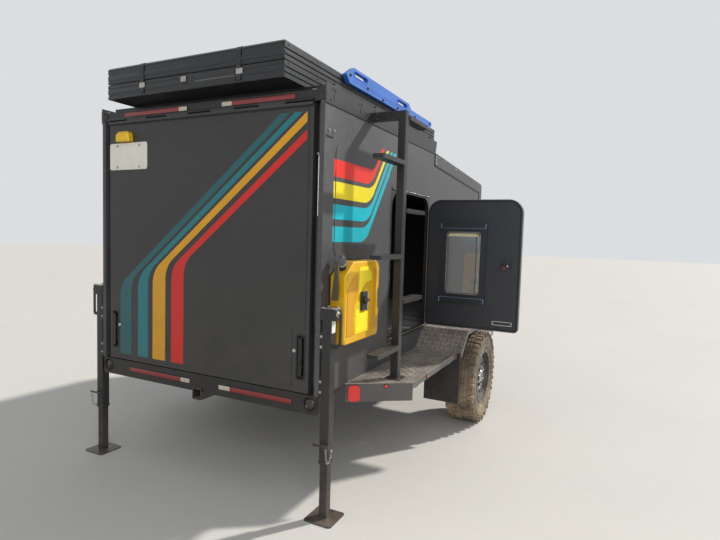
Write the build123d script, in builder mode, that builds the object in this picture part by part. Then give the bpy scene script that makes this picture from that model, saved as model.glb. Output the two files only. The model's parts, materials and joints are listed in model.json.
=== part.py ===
from build123d import *
from math import atan2, degrees
import os

# Off-road squaredrop camper trailer, millimetres.
# The origin is on the ground under the middle of the axle: +X right, +Y forward, +Z up.

# Body shell
BODY_HALF = 762
BODY_REAR = -1800
BODY_FRONT = 1200
DECK_Z = 596
ROOF_REAR_Z = 1990
ROOF_FRONT_Z = 1898
ROOF_BREAK_Y = -230
BREAK_R = 300
WALL = 25
FLOOR_T = 36
ROOF_T = 30
NOSE_R = 45
NOSE_FOLD = 90
INNER_HALF = BODY_HALF - WALL
PANEL_LONG = 650
PANEL_H = 575
PANEL_R = 70
PANEL_T = 3
PANEL_REAR = BODY_REAR + 110
PANEL_HIGH = ROOF_REAR_Z - 165
TRIM_H = 88
TRIM_T = 3
SEAT = 0.3

# Side doors, in the closed position
DOOR_W = 655
DOOR_H = 890
DOOR_T = 30
DOOR_LOW = DECK_Z + 154
DOOR_GAP = 7
DOOR_SILL_GAP = 10
DOOR_TOP_R = 95
DOOR_LOW_R = 28
DOOR_FRONT = -325
DOOR_ANGLE = 90
SURROUND_W = 25
PIN_OUT = 9
KNUCKLE_R = 6.5
PIN_R = 3
PIN_GAP = 0.2
HINGE_LONG = 66
HINGE_LEAF = 40
HINGE_T = 2
HINGE_HEIGHTS = (DOOR_LOW + 156, DOOR_LOW + 616)

# Door window, blind frame and latch
WINDOW_W = 230
WINDOW_H = 424
WINDOW_FROM_HINGE = 265
WINDOW_LOW = DOOR_LOW + 240
WINDOW_R = 26
GLASS_T = 5
GLASS_LAP = 12
FRAME_W = 320
FRAME_LOW = WINDOW_LOW - 60
FRAME_HIGH = WINDOW_LOW + WINDOW_H + 66
FRAME_T = 12
CASSETTE_H = 38
CASSETTE_T = 26
HANDLE_W = 72
HANDLE_H = 80
HANDLE_FROM_EDGE = 97
HANDLE_Z = DOOR_LOW + 454
HANDLE_T = 10

# Rear hatch
HATCH_HALF = BODY_HALF - 62
HATCH_T = 45
HATCH_LOW = DECK_Z + 4
HATCH_TOP = ROOF_REAR_Z - 4
HATCH_PIN_Y = BODY_REAR - 7
HATCH_PIN_Z = ROOF_REAR_Z + 8
HATCH_KNUCKLES = 9
HATCH_SKIN = 3
HATCH_BORDER = 24
HATCH_STRIP = 12
LATCH_W = 42
LATCH_H = 214
LATCH_X = HATCH_HALF - 45
LATCH_Z = HATCH_LOW + 174
LATCH_DEEP = 16
LATCH_NOTCH = 52
JAMB_W = 58
JAMB_T = 50
JAMB_GAP = 5
PLATE_X = 158 - HATCH_HALF
PLATE_Z = HATCH_TOP - 200
PLATE_PITCH_X = 178
PLATE_PITCH_Z = 121
PLATE_HOLE_R = 3

# Gas struts of the hatch
STRUT_X = HATCH_HALF + 18
STRUT_Y = BODY_REAR + 28
STRUT_LOW_Z = HATCH_LOW + 315
STRUT_HIGH_Z = HATCH_PIN_Z - 248
STRUT_TUBE_R = 10
STRUT_ROD_R = 5
STRUT_TUBE_LONG = 520
STRUT_ROD_FREE = 50
STRUT_STUD_R = 4
STRUT_EYE_R = 9
STRUT_EYE_T = 8
STRUT_FIT = 0.1

# Chassis
RAIL_X = BODY_HALF - 102
RAIL_W = 50
RAIL_H = 76
RAIL_FRONT = BODY_FRONT - 10
CROSS_PLACES = (-1180, -600, 40, 640, RAIL_FRONT - 25)
TONGUE_START_Y = BODY_FRONT - 640
TONGUE_END_Y = BODY_FRONT + 950
TONGUE_END_X = 37
BALL_Y = TONGUE_END_Y + 200
COUPLER_H = 46
COUPLER_W = 100
COUPLER_T = 5
COUPLER_NOSE_R = 41
COUPLER_LATCH = 110

# Rear bumper and hitch receiver
BUMPER_H = 94
BUMPER_D = 60
BUMPER_HALF = BODY_HALF - 10
BUMPER_TOP = DECK_Z - 2
LAMP_R = 34
LAMP_X = BUMPER_HALF - 40
LAMP_Z = BUMPER_TOP - 42
LAMP_DEEP = 26
RECEIVER_OUT = 63.5
RECEIVER_IN = 51
RECEIVER_LONG = 330
RECEIVER_PROUD = 8
RECEIVER_PIN_R = 8
RECEIVER_PIN_IN = 74
RAIL_REAR = BODY_REAR + BUMPER_D + SEAT

# Axle, springs and wheels
TYRE_R = 338
TYRE_W = 215
TYRE_X = BODY_HALF + 276
TYRE_WALL = 13
TREAD_H = 12
LUG_COUNT = 24
LUG_W = 42
LUG_SHARE = 0.62
AXLE_Z = TYRE_R
AXLE_R = 30
BEAD_R = 190.5
FLANGE_R = 205
FLANGE_T = 7
RIM_W = 190
RIM_T = 7
DISC_IN = 34
HUB_R = 44
HUB_CAP = 24
DRUM_R = 126
SPINDLE_R = 20
SPINDLE_FIT = 0.08
STUD_CIRCLE_R = 66
STUD_COUNT = 6
STUD_R = 10
VENT_COUNT = 8
VENT_W = 30
VENT_H = 20
VENT_CIRCLE_R = 122
SPRING_X = RAIL_X
SPRING_W = 45
SPRING_SPAN = 330
LEAF_T = 9
SPRING_RISE = 62
SPRING_PAD = 14
SPRING_EYE_R = 15
HANGER_T = 8

# Fenders, side platforms and mudflaps
FENDER_TOP = 2 * TYRE_R + 52
FENDER_FLAT = 330
FENDER_FOOT = 490
FENDER_OUT = BODY_HALF + 328
FENDER_LIP = 26
SHEET = 4
PLATFORM_REAR_IN = BODY_REAR + 265
PLATFORM_REAR_OUT = PLATFORM_REAR_IN + 210
PLATFORM_OUT = BODY_HALF + 300
PLATFORM_FRONT = -FENDER_FOOT - 4
PLATFORM_LIP = 32
SKIRT_H = 96
BRACKET_W = 40
BRACKET_PLACES = (-1250, -640)
FLAP_W = 247
FLAP_IN = TYRE_X - 203
FLAP_LOW = 250
FLAP_T = 6
TAIL_LAMP_W = 62
TAIL_LAMP_H = 84
TAIL_LAMP_T = 16

# Corner jacks at the rear
JACK_X = BODY_HALF + 35
JACK_Y = BODY_REAR + 25
JACK_OUT = 50
JACK_WALL = 3.5
JACK_LOW_Z = 270
JACK_TOP = DECK_Z + 374
JACK_LEG = 42
JACK_LEG_TOP = 600
JACK_LEG_WALL = 4
JACK_FOOT = 150
FOOT_T = 6
GEARBOX_W = 84
GEARBOX_D = 62
GEARBOX_H = 56
CRANK_R = 7
CRANK_LONG = 150
PIN_Z = JACK_LOW_Z + 102
PIN_HANDLE = 88
PIN_BAR_R = 5

# Tongue jack
NOSE_JACK_Y = TONGUE_END_Y - 270
NOSE_JACK_R = 29
NOSE_JACK_WALL = 4
NOSE_LEG_R = 24.5
NOSE_JACK_TOP = DECK_Z + 344
NOSE_JACK_LOW_Z = 395
NOSE_LEG_TOP = 640
NOSE_FOOT_R = 80
NOSE_HEAD_W = 78
NOSE_HEAD_D = 96
NOSE_HEAD_H = 64
NOSE_COLLAR_W = 26
NOSE_COLLAR_T = 9
GUSSET_HALF = 90
GUSSET_T = 8

# Ladder beside the body
POST = 44
POST_X = BODY_HALF + 185
POST_Y = BODY_REAR + 502
STEP_LONG = 285
STEP_WIDE = 62
STEP_T = 22
STEP_PITCH = 246
STEP_FIRST = DECK_Z + 189
STEP_COUNT = 6

# Fuel can on the side wall
CAN_W = 386
CAN_H = 404
CAN_T = 80
CAN_REAR = BODY_REAR + 78
CAN_LOW = DECK_Z + 242
CAN_STAND = 8
CAN_CORNER = 46
CAN_BEVEL = 6
CAN_WAIST = 14
CAN_LOCK_R = 24
CAP_R = 27
CAN_PLATE_W = 150
CAN_PLATE_H = 190

# Roof rack
RACK_H = 90
RACK_LOW = ROOF_REAR_Z - 10
RACK_TOP = RACK_LOW + RACK_H
RACK_T = 5
RACK_FRONT = ROOF_BREAK_Y
RACK_SLOTS = (70, 350, 520)
BAR_H = 32
BAR_W = 44
BAR_TOP = RACK_TOP + 16
BAR_FIRST = 110
BAR_PITCH = 460
BAR_COUNT = 4
HEADER_H = 52
HEADER_FOOT = 90
POST_TOP = RACK_TOP - 35

# Roof tent, and the board on its lid
TENT_HALF = BODY_HALF - 167
TENT_REAR = BODY_REAR - 90
TENT_LONG = 2120
TENT_BASE_H = 77
TENT_LID_H = 88
TENT_GAP = 5
TENT_RAIL = 44
TENT_SKIN = 8
TENT_FLOOR = 14
TENT_GROOVE = 5
GROOVE_H = 10
GROOVE_PITCH = 26
GROOVE_FIRST = 17
TENT_PIN_OUT = 8
TENT_HINGE_X = 400
TENT_KNUCKLE_R = 6
TENT_KNUCKLE = 40
TENT_FRONT = TENT_REAR + TENT_LONG
TENT_SPLIT = BAR_TOP + TENT_BASE_H + TENT_GAP
TENT_TOP = TENT_SPLIT + TENT_LID_H
BOARD_REAR = TENT_REAR + 540
BOARD_WIDE_LONG = 950
BOARD_LONG = 1420
BOARD_H = 96
BOARD_SLIM_H = 64
BOARD_T = 26
BOARD_LOW = TENT_SPLIT + 44
BOARD_SLOT_LONG = 170
BOARD_SLOT_H = 26
BOARD_SLOT_REAR = 180
BOARD_SLOT_FRONT = 140
BOARD_SLOT_DROP = 30

# Cabin interior
BULKHEAD_Y = BODY_REAR + 740
BULKHEAD_T = 18
COUNTER_Z = DECK_Z + 414
COUNTER_T = 25
SHELF_Z = DECK_Z + 884
SHELF_DEEP = 300
MATTRESS_T = 100
MATTRESS_INSET = 20
MATTRESS_R = 40


def block(x0, x1, y0, y1, z0, z1, mode=Mode.ADD):
    """A box between two corners, joined to the part that is open."""
    with Locations(((x0 + x1) / 2, (y0 + y1) / 2, (z0 + z1) / 2)):
        Box(x1 - x0, y1 - y0, z1 - z0, mode=mode)


def rod(start, end, radius, mode=Mode.ADD):
    """A round bar from one point to another, joined to the part that is open."""
    way = Vector(*end) - Vector(*start)
    with Locations(Plane(origin=start, z_dir=way)):
        Cylinder(radius, way.length, align=(Align.CENTER, Align.CENTER, Align.MIN), mode=mode)


def roof_z(y):
    """Height of the roof line above a place along the body."""
    slope = (ROOF_REAR_Z - ROOF_FRONT_Z) / (BODY_FRONT - ROOF_BREAK_Y)
    return ROOF_REAR_Z - max(0, y - ROOF_BREAK_Y) * slope


def tongue_x(y):
    """Distance of a tongue beam's middle line from the trailer's middle."""
    share = (y - TONGUE_START_Y) / (TONGUE_END_Y - TONGUE_START_Y)
    return RAIL_X + (TONGUE_END_X - RAIL_X) * share


def doorway_edges(side_gap, low_gap):
    """Rear, front, low and top edge of the door leaf grown by its gaps."""
    return (DOOR_FRONT - DOOR_W - side_gap, DOOR_FRONT + side_gap,
            DOOR_LOW - low_gap, DOOR_LOW + DOOR_H + side_gap)


def doorway(side_gap, low_gap):
    """Outline of the door leaf grown by its gaps, drawn on a side plane: local x is Y, y is Z."""
    rear, front, low, top = doorway_edges(side_gap, low_gap)
    round_top = DOOR_TOP_R + side_gap
    with BuildLine() as outline:
        FilletPolyline(
            (rear, low), (rear, top), (front, top), (front, low),
            radius=(DOOR_LOW_R, round_top, round_top, DOOR_LOW_R), close=True,
        )
    make_face(outline.edges())


# Chassis frame: two rails, crossmembers and the A-frame of the tongue, welded together
rail_low = DECK_Z - RAIL_H
with BuildPart() as chassis_frame:
    with BuildSketch(Plane.XY.offset(rail_low)):
        with BuildLine():
            Line((RAIL_X, RAIL_REAR), (RAIL_X, RAIL_FRONT))
        trace(line_width=RAIL_W)
        with BuildLine():
            Line((RAIL_X, TONGUE_START_Y), (TONGUE_END_X, TONGUE_END_Y))
        trace(line_width=RAIL_W)
        for cross_y in (RAIL_REAR + RAIL_W / 2, *CROSS_PLACES):
            with BuildLine():
                Line((0, cross_y), (RAIL_X, cross_y))
            trace(line_width=RAIL_W)
    extrude(amount=RAIL_H)
    gusset_rear = NOSE_JACK_Y - GUSSET_HALF
    gusset_front = NOSE_JACK_Y + GUSSET_HALF
    with BuildSketch(Plane.XY.offset(DECK_Z - GUSSET_T)):
        with BuildLine():
            Polyline(
                (0, gusset_rear), (tongue_x(gusset_rear), gusset_rear),
                (tongue_x(gusset_front), gusset_front), (0, gusset_front), close=True,
            )
        make_face()
    extrude(amount=GUSSET_T)
    block(0, TONGUE_END_X, TONGUE_END_Y - RAIL_H, TONGUE_END_Y, rail_low, DECK_Z)
    mirror(about=Plane.YZ)
    with Locations((0, NOSE_JACK_Y, DECK_Z)):
        Cylinder(NOSE_JACK_R, 4 * RAIL_H, mode=Mode.SUBTRACT)

# Ball coupler: a folded channel that ends in the round socket over the tow ball
with BuildPart() as coupler:
    for inset, height, mode in ((0, COUPLER_H, Mode.ADD),
                                (COUPLER_T, COUPLER_H - COUPLER_T, Mode.SUBTRACT)):
        half = COUPLER_W / 2 - inset
        nose_r = COUPLER_NOSE_R - inset
        with BuildSketch(Plane.XY.offset(DECK_Z)):
            with BuildLine():
                Polyline(
                    (-half, TONGUE_END_Y - RAIL_H), (half, TONGUE_END_Y - RAIL_H),
                    (half, TONGUE_END_Y), (nose_r, BALL_Y), (-nose_r, BALL_Y),
                    (-half, TONGUE_END_Y), close=True,
                )
            make_face()
            with Locations((0, BALL_Y)):
                Circle(nose_r)
        extrude(amount=height, mode=mode)
    with BuildSketch(Plane.XY.offset(DECK_Z + COUPLER_H)):
        with Locations((0, TONGUE_END_Y + 20)):
            SlotOverall(COUPLER_LATCH, COUPLER_LATCH / 4, rotation=90)
    extrude(amount=16)

# Receiver tube under the rear bumper, with the cross hole for its hitch pin
receiver_z = rail_low - RECEIVER_OUT / 2
receiver_mouth = BODY_REAR - RECEIVER_PROUD
with BuildPart() as receiver:
    with BuildSketch(Plane.XZ.offset(-receiver_mouth)):
        with Locations((0, receiver_z)):
            RectangleRounded(RECEIVER_OUT, RECEIVER_OUT, 6)
            Rectangle(RECEIVER_IN, RECEIVER_IN, mode=Mode.SUBTRACT)
    extrude(amount=-RECEIVER_LONG)
    pin_y = receiver_mouth + RECEIVER_PIN_IN
    rod((-RECEIVER_OUT, pin_y, receiver_z), (RECEIVER_OUT, pin_y, receiver_z),
        RECEIVER_PIN_R, Mode.SUBTRACT)

# Rear bumper: a beam with a round lamp recess at each end
with BuildPart() as rear_bumper:
    with BuildSketch(Plane.XZ.offset(-BODY_REAR)):
        with Locations((0, BUMPER_TOP - BUMPER_H / 2)):
            RectangleRounded(2 * BUMPER_HALF, BUMPER_H, 6)
        with Locations((0, rail_low + 1)):
            Rectangle(RECEIVER_OUT + 2, 2 * RAIL_H, align=(Align.CENTER, Align.MAX),
                      mode=Mode.SUBTRACT)
    extrude(amount=-BUMPER_D)
    with BuildSketch(Plane.XZ.offset(-BODY_REAR)):
        with Locations((LAMP_X, LAMP_Z), (-LAMP_X, LAMP_Z)):
            Circle(LAMP_R)
    extrude(amount=-LAMP_DEEP, mode=Mode.SUBTRACT)

with BuildPart() as bumper_lamps:
    with BuildSketch(Plane.XZ.offset(-BODY_REAR - LAMP_DEEP)):
        with Locations((LAMP_X, LAMP_Z), (-LAMP_X, LAMP_Z)):
            Circle(LAMP_R - 3)
    extrude(amount=LAMP_DEEP / 2)

# Axle beam with spring pads, backing plates and spindles
axle_end = TYRE_X - RIM_W / 2 - 20
spindle_end = TYRE_X + RIM_W / 2 - DISC_IN
pad_top = AXLE_Z + AXLE_R + SPRING_PAD
with BuildPart() as axle_beam:
    rod((0, 0, AXLE_Z), (axle_end, 0, AXLE_Z), AXLE_R)
    rod((axle_end - 10, 0, AXLE_Z), (axle_end, 0, AXLE_Z), DRUM_R)
    rod((axle_end, 0, AXLE_Z), (spindle_end, 0, AXLE_Z), SPINDLE_R)
    block(SPRING_X - SPRING_W / 2 - 6, SPRING_X + SPRING_W / 2 + 6, -60, 60, AXLE_Z, pad_top)
    mirror(about=Plane.YZ)

# Leaf springs with their eyes and hangers, one pack under each rail
eye_z = pad_top + SPRING_RISE + 2 * LEAF_T
with BuildPart() as leaf_springs:
    with BuildSketch(Plane.YZ.offset(SPRING_X - SPRING_W / 2)):
        for leaf, share in ((0, 0.5), (1, 0.75), (2, 1.0)):
            reach = SPRING_SPAN * share
            base = pad_top + leaf * LEAF_T
            rise = SPRING_RISE * share ** 2
            with BuildLine():
                upper = ThreePointArc((-reach, base + rise + LEAF_T), (0, base + LEAF_T),
                                      (reach, base + rise + LEAF_T))
                lower = ThreePointArc((-reach, base + rise), (0, base), (reach, base + rise))
                Line(upper @ 0, lower @ 0)
                Line(upper @ 1, lower @ 1)
            make_face()
        with Locations((-SPRING_SPAN, eye_z), (SPRING_SPAN, eye_z)):
            Circle(SPRING_EYE_R)
    extrude(amount=SPRING_W)
    for end in (-SPRING_SPAN, SPRING_SPAN):
        for plate_x in (SPRING_X - SPRING_W / 2 - HANGER_T, SPRING_X + SPRING_W / 2):
            with BuildSketch(Plane.YZ.offset(plate_x)):
                with BuildLine():
                    Polyline(
                        (end - 22, eye_z - 18), (end + 22, eye_z - 18),
                        (end + 40, rail_low), (end - 40, rail_low), close=True,
                    )
                make_face()
            extrude(amount=HANGER_T)
    mirror(about=Plane.YZ)

# Floor
hatch_inner_y = BODY_REAR + HATCH_T
jamb_y = hatch_inner_y + JAMB_GAP
with BuildPart() as floor:
    block(-INNER_HALF, INNER_HALF, jamb_y, BODY_FRONT - WALL, DECK_Z, DECK_Z + FLOOR_T)

# Side wall with its door opening, raised service panel, corner trim and fixed hinge halves
hinge_y = DOOR_FRONT + DOOR_GAP / 2
hinge_x = BODY_HALF + PIN_OUT
way_rear, way_front, way_low, way_top = doorway_edges(DOOR_GAP, DOOR_SILL_GAP)
cut_rear = way_rear - SURROUND_W
cut_front = way_front + SURROUND_W
cut_low = way_low - SURROUND_W
cut_top = way_top + SURROUND_W
with BuildPart() as side_wall_r:
    with BuildSketch(Plane.YZ.offset(INNER_HALF)):
        with BuildLine():
            FilletPolyline(
                (BODY_REAR, DECK_Z), (BODY_FRONT, DECK_Z), (BODY_FRONT, ROOF_FRONT_Z),
                (ROOF_BREAK_Y, ROOF_REAR_Z), (BODY_REAR, ROOF_REAR_Z),
                radius=(0, 0, NOSE_R, BREAK_R, 0), close=True,
            )
        make_face()
    extrude(amount=WALL)
    with BuildSketch(Plane.YZ.offset(BODY_HALF)):
        with Locations((PANEL_REAR + PANEL_LONG / 2, PANEL_HIGH - PANEL_H / 2)):
            RectangleRounded(PANEL_LONG, PANEL_H, PANEL_R)
    extrude(amount=PANEL_T)
    with BuildSketch(Plane.YZ.offset(BODY_HALF)):
        with BuildLine():
            FilletPolyline(
                (RACK_FRONT + 8, roof_z(RACK_FRONT + 8) - TRIM_H),
                (BODY_FRONT - TRIM_H, ROOF_FRONT_Z - TRIM_H),
                (BODY_FRONT - TRIM_H, DECK_Z), (BODY_FRONT, DECK_Z),
                (BODY_FRONT, ROOF_FRONT_Z), (RACK_FRONT + 8, roof_z(RACK_FRONT + 8)),
                radius=(0, NOSE_R, 0, 0, NOSE_R, 0), close=True,
            )
        make_face()
    extrude(amount=TRIM_T)
    block(INNER_HALF, BODY_HALF, cut_rear, cut_front, cut_low, cut_top, Mode.SUBTRACT)
    for hinge_z in HINGE_HEIGHTS:
        for part in (-1, 1):
            low = hinge_z + part * HINGE_LONG / 3 - HINGE_LONG / 6
            high = low + HINGE_LONG / 3
            rod((hinge_x, hinge_y, low), (hinge_x, hinge_y, high), KNUCKLE_R)
            block(BODY_HALF, hinge_x, hinge_y, hinge_y + 5, low, high)
        rod((hinge_x, hinge_y, hinge_z - HINGE_LONG / 2),
            (hinge_x, hinge_y, hinge_z + HINGE_LONG / 2), PIN_R)
        block(BODY_HALF, BODY_HALF + HINGE_T, hinge_y + 4, hinge_y + 4 + HINGE_LEAF,
              hinge_z - HINGE_LONG / 2, hinge_z + HINGE_LONG / 2)

with BuildPart() as side_wall_l:
    mirror(side_wall_r.part, about=Plane.YZ)

# Surround of each doorway: straight posts between a sill and a head with the round corners
post_low = way_low + DOOR_LOW_R
post_top = way_top - DOOR_TOP_R - DOOR_GAP
with BuildPart() as door_posts:
    block(INNER_HALF, BODY_HALF, cut_rear, way_rear, post_low, post_top)
    block(INNER_HALF, BODY_HALF, way_front, cut_front, post_low, post_top)
    mirror(about=Plane.YZ)

with BuildPart() as door_heads:
    for low, top in ((cut_low, post_low), (post_top, cut_top)):
        with BuildSketch(Plane.YZ.offset(INNER_HALF)):
            with Locations(((cut_rear + cut_front) / 2, (low + top) / 2)):
                Rectangle(cut_front - cut_rear, top - low)
        extrude(amount=WALL)
    with BuildSketch(Plane.YZ.offset(INNER_HALF)):
        doorway(DOOR_GAP, DOOR_SILL_GAP)
    extrude(amount=WALL, mode=Mode.SUBTRACT)
    mirror(about=Plane.YZ)

# Roof panel, folded down over the nose, and the front wall under it
with BuildPart() as roof:
    with BuildSketch(Plane.YZ.offset(-INNER_HALF)):
        nose_in = BODY_FRONT - WALL
        with BuildLine():
            FilletPolyline(
                (jamb_y, ROOF_REAR_Z), (ROOF_BREAK_Y, ROOF_REAR_Z),
                (BODY_FRONT, ROOF_FRONT_Z), (BODY_FRONT, ROOF_FRONT_Z - NOSE_FOLD),
                (nose_in, ROOF_FRONT_Z - NOSE_FOLD), (nose_in, roof_z(nose_in) - ROOF_T),
                (ROOF_BREAK_Y, ROOF_REAR_Z - ROOF_T), (jamb_y, ROOF_REAR_Z - ROOF_T),
                radius=(0, BREAK_R, NOSE_R, 0, 0, 0, 0, 0), close=True,
            )
        make_face()
    extrude(amount=2 * INNER_HALF)

with BuildPart() as front_wall:
    block(-INNER_HALF, INNER_HALF, BODY_FRONT - WALL, BODY_FRONT,
          DECK_Z, ROOF_FRONT_Z - NOSE_FOLD)

# Jamb frame that the hatch shuts against
with BuildPart() as hatch_jamb:
    jamb_low = DECK_Z + FLOOR_T
    jamb_high = ROOF_REAR_Z - ROOF_T
    with BuildSketch(Plane.XZ.offset(-jamb_y)):
        with Locations((0, (jamb_low + jamb_high) / 2)):
            Rectangle(2 * INNER_HALF, jamb_high - jamb_low)
            RectangleRounded(2 * (INNER_HALF - JAMB_W), jamb_high - jamb_low - 2 * JAMB_W, 40,
                             mode=Mode.SUBTRACT)
    extrude(amount=-JAMB_T)
    for side in (1, -1):
        stud_in = side * (STRUT_X - STRUT_EYE_T / 2)
        foot_y = STRUT_Y
        block(side * INNER_HALF - (4 if side > 0 else 0), side * INNER_HALF + (0 if side > 0 else 4),
              foot_y - 14, jamb_y, STRUT_LOW_Z - 22, STRUT_LOW_Z + 22)
        rod((side * INNER_HALF, foot_y, STRUT_LOW_Z), (stud_in, foot_y, STRUT_LOW_Z), STRUT_STUD_R)

# Galley behind the bulkhead: worktop, shelf, divider and cupboard front
galley_front = BULKHEAD_Y
galley_rear = jamb_y + JAMB_T
with BuildPart() as galley:
    floor_top = DECK_Z + FLOOR_T
    ceiling = ROOF_REAR_Z - ROOF_T
    block(-INNER_HALF, INNER_HALF, BULKHEAD_Y, BULKHEAD_Y + BULKHEAD_T, floor_top, ceiling)
    block(-INNER_HALF, INNER_HALF, galley_rear + 30, BULKHEAD_Y, COUNTER_Z - COUNTER_T,
          COUNTER_Z)
    block(-INNER_HALF, INNER_HALF, BULKHEAD_Y - SHELF_DEEP, BULKHEAD_Y, SHELF_Z - BULKHEAD_T, SHELF_Z)
    block(-BULKHEAD_T / 2, BULKHEAD_T / 2, galley_rear + 60, BULKHEAD_Y, floor_top,
          COUNTER_Z - COUNTER_T)
    block(-BULKHEAD_T / 2, BULKHEAD_T / 2, BULKHEAD_Y - SHELF_DEEP, BULKHEAD_Y, SHELF_Z, ceiling)

# Mattress on the cabin floor
with BuildPart() as mattress:
    block(-INNER_HALF + MATTRESS_INSET, INNER_HALF - MATTRESS_INSET,
          BULKHEAD_Y + BULKHEAD_T + MATTRESS_INSET, BODY_FRONT - WALL - MATTRESS_INSET,
          DECK_Z + FLOOR_T + SEAT, DECK_Z + FLOOR_T + SEAT + MATTRESS_T)
    fillet(mattress.edges().filter_by(Axis.Z), MATTRESS_R)

# Rear hatch: a framed panel with a raised skin, latch pockets and its half of the hinge
knuckle_long = 2 * HATCH_HALF / HATCH_KNUCKLES
with BuildPart() as hatch_panel:
    block(-HATCH_HALF, HATCH_HALF, BODY_REAR + HATCH_SKIN, hatch_inner_y, HATCH_LOW, HATCH_TOP)
    with BuildSketch(Plane.XZ.offset(-BODY_REAR - HATCH_SKIN)):
        skin_x = HATCH_HALF - HATCH_BORDER
        latch_in = LATCH_X - LATCH_NOTCH
        latch_top = LATCH_Z + LATCH_H / 2 + 30
        with BuildLine():
            FilletPolyline(
                (-latch_in, HATCH_LOW + HATCH_BORDER), (latch_in, HATCH_LOW + HATCH_BORDER),
                (latch_in, latch_top), (skin_x, latch_top), (skin_x, HATCH_TOP - HATCH_BORDER),
                (-skin_x, HATCH_TOP - HATCH_BORDER), (-skin_x, latch_top),
                (-latch_in, latch_top),
                radius=(10, 10, 10, 10, 18, 18, 10, 10), close=True,
            )
        make_face()
    extrude(amount=HATCH_SKIN)
    with BuildSketch(Plane.XZ.offset(-BODY_REAR - HATCH_SKIN)):
        with Locations((LATCH_X, LATCH_Z), (-LATCH_X, LATCH_Z)):
            RectangleRounded(LATCH_W, LATCH_H, 8)
    extrude(amount=-LATCH_DEEP, mode=Mode.SUBTRACT)
    for knuckle in range(1, HATCH_KNUCKLES, 2):
        left = -HATCH_HALF + knuckle * knuckle_long
        rod((left + 1, HATCH_PIN_Y, HATCH_PIN_Z), (left + knuckle_long - 1, HATCH_PIN_Y, HATCH_PIN_Z), KNUCKLE_R)
        block(left + 1, left + knuckle_long - 1, HATCH_PIN_Y - 4, HATCH_PIN_Y - 1,
              HATCH_TOP - HATCH_STRIP, HATCH_PIN_Z - 3)
    block(-HATCH_HALF, HATCH_HALF, HATCH_PIN_Y - 4, BODY_REAR + HATCH_SKIN,
          HATCH_TOP - 2 - HATCH_STRIP, HATCH_TOP - 2)
    rod((-HATCH_HALF, HATCH_PIN_Y, HATCH_PIN_Z), (HATCH_HALF, HATCH_PIN_Y, HATCH_PIN_Z),
        PIN_R + PIN_GAP, Mode.SUBTRACT)
    stud_tip = STRUT_X - STRUT_EYE_T / 2 - 1
    rod((HATCH_HALF - 10, STRUT_Y, STRUT_HIGH_Z), (stud_tip, STRUT_Y, STRUT_HIGH_Z), STRUT_STUD_R)
    rod((10 - HATCH_HALF, STRUT_Y, STRUT_HIGH_Z), (-stud_tip, STRUT_Y, STRUT_HIGH_Z), STRUT_STUD_R)

    with BuildSketch(Plane.XZ.offset(-BODY_REAR)):
        with Locations((PLATE_X, PLATE_Z)):
            with GridLocations(PLATE_PITCH_X, PLATE_PITCH_Z, 2, 2):
                Circle(PLATE_HOLE_R)
    extrude(amount=-HATCH_SKIN - 12, mode=Mode.SUBTRACT)

# Vertical pull handles in their pockets
with BuildPart() as hatch_latches:
    with BuildSketch(Plane.XZ.offset(-BODY_REAR - HATCH_SKIN - LATCH_DEEP)):
        with Locations((LATCH_X, LATCH_Z), (-LATCH_X, LATCH_Z)):
            RectangleRounded(LATCH_W, LATCH_H, 8)
    extrude(amount=3)
    for side in (1, -1):
        for grip_end in (-1, 1):
            grip_z = LATCH_Z + grip_end * (LATCH_H / 2 - 24)
            block(side * LATCH_X - 9, side * LATCH_X + 9, BODY_REAR - 4,
                  BODY_REAR + HATCH_SKIN + LATCH_DEEP - 2, grip_z - 10, grip_z + 10)
        block(side * LATCH_X - 9, side * LATCH_X + 9, BODY_REAR - 6, BODY_REAR + 2,
              LATCH_Z - LATCH_H / 2 + 14, LATCH_Z + LATCH_H / 2 - 14)

# Number plate lamp on the hatch
with BuildPart() as plate_lamp:
    lamp_low = PLATE_Z + 82
    with BuildSketch(Plane.XZ.offset(-BODY_REAR)):
        with BuildLine():
            Polyline(
                (PLATE_X - 73, lamp_low), (PLATE_X + 37, lamp_low), (PLATE_X + 32, lamp_low + 46),
                (PLATE_X + 22, lamp_low + 54), (PLATE_X - 50, lamp_low + 54),
                (PLATE_X - 70, lamp_low + 38), close=True,
            )
        make_face()
    extrude(amount=34)
    chamfer(plate_lamp.faces().sort_by(Axis.Y)[0].edges(), 7)

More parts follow.
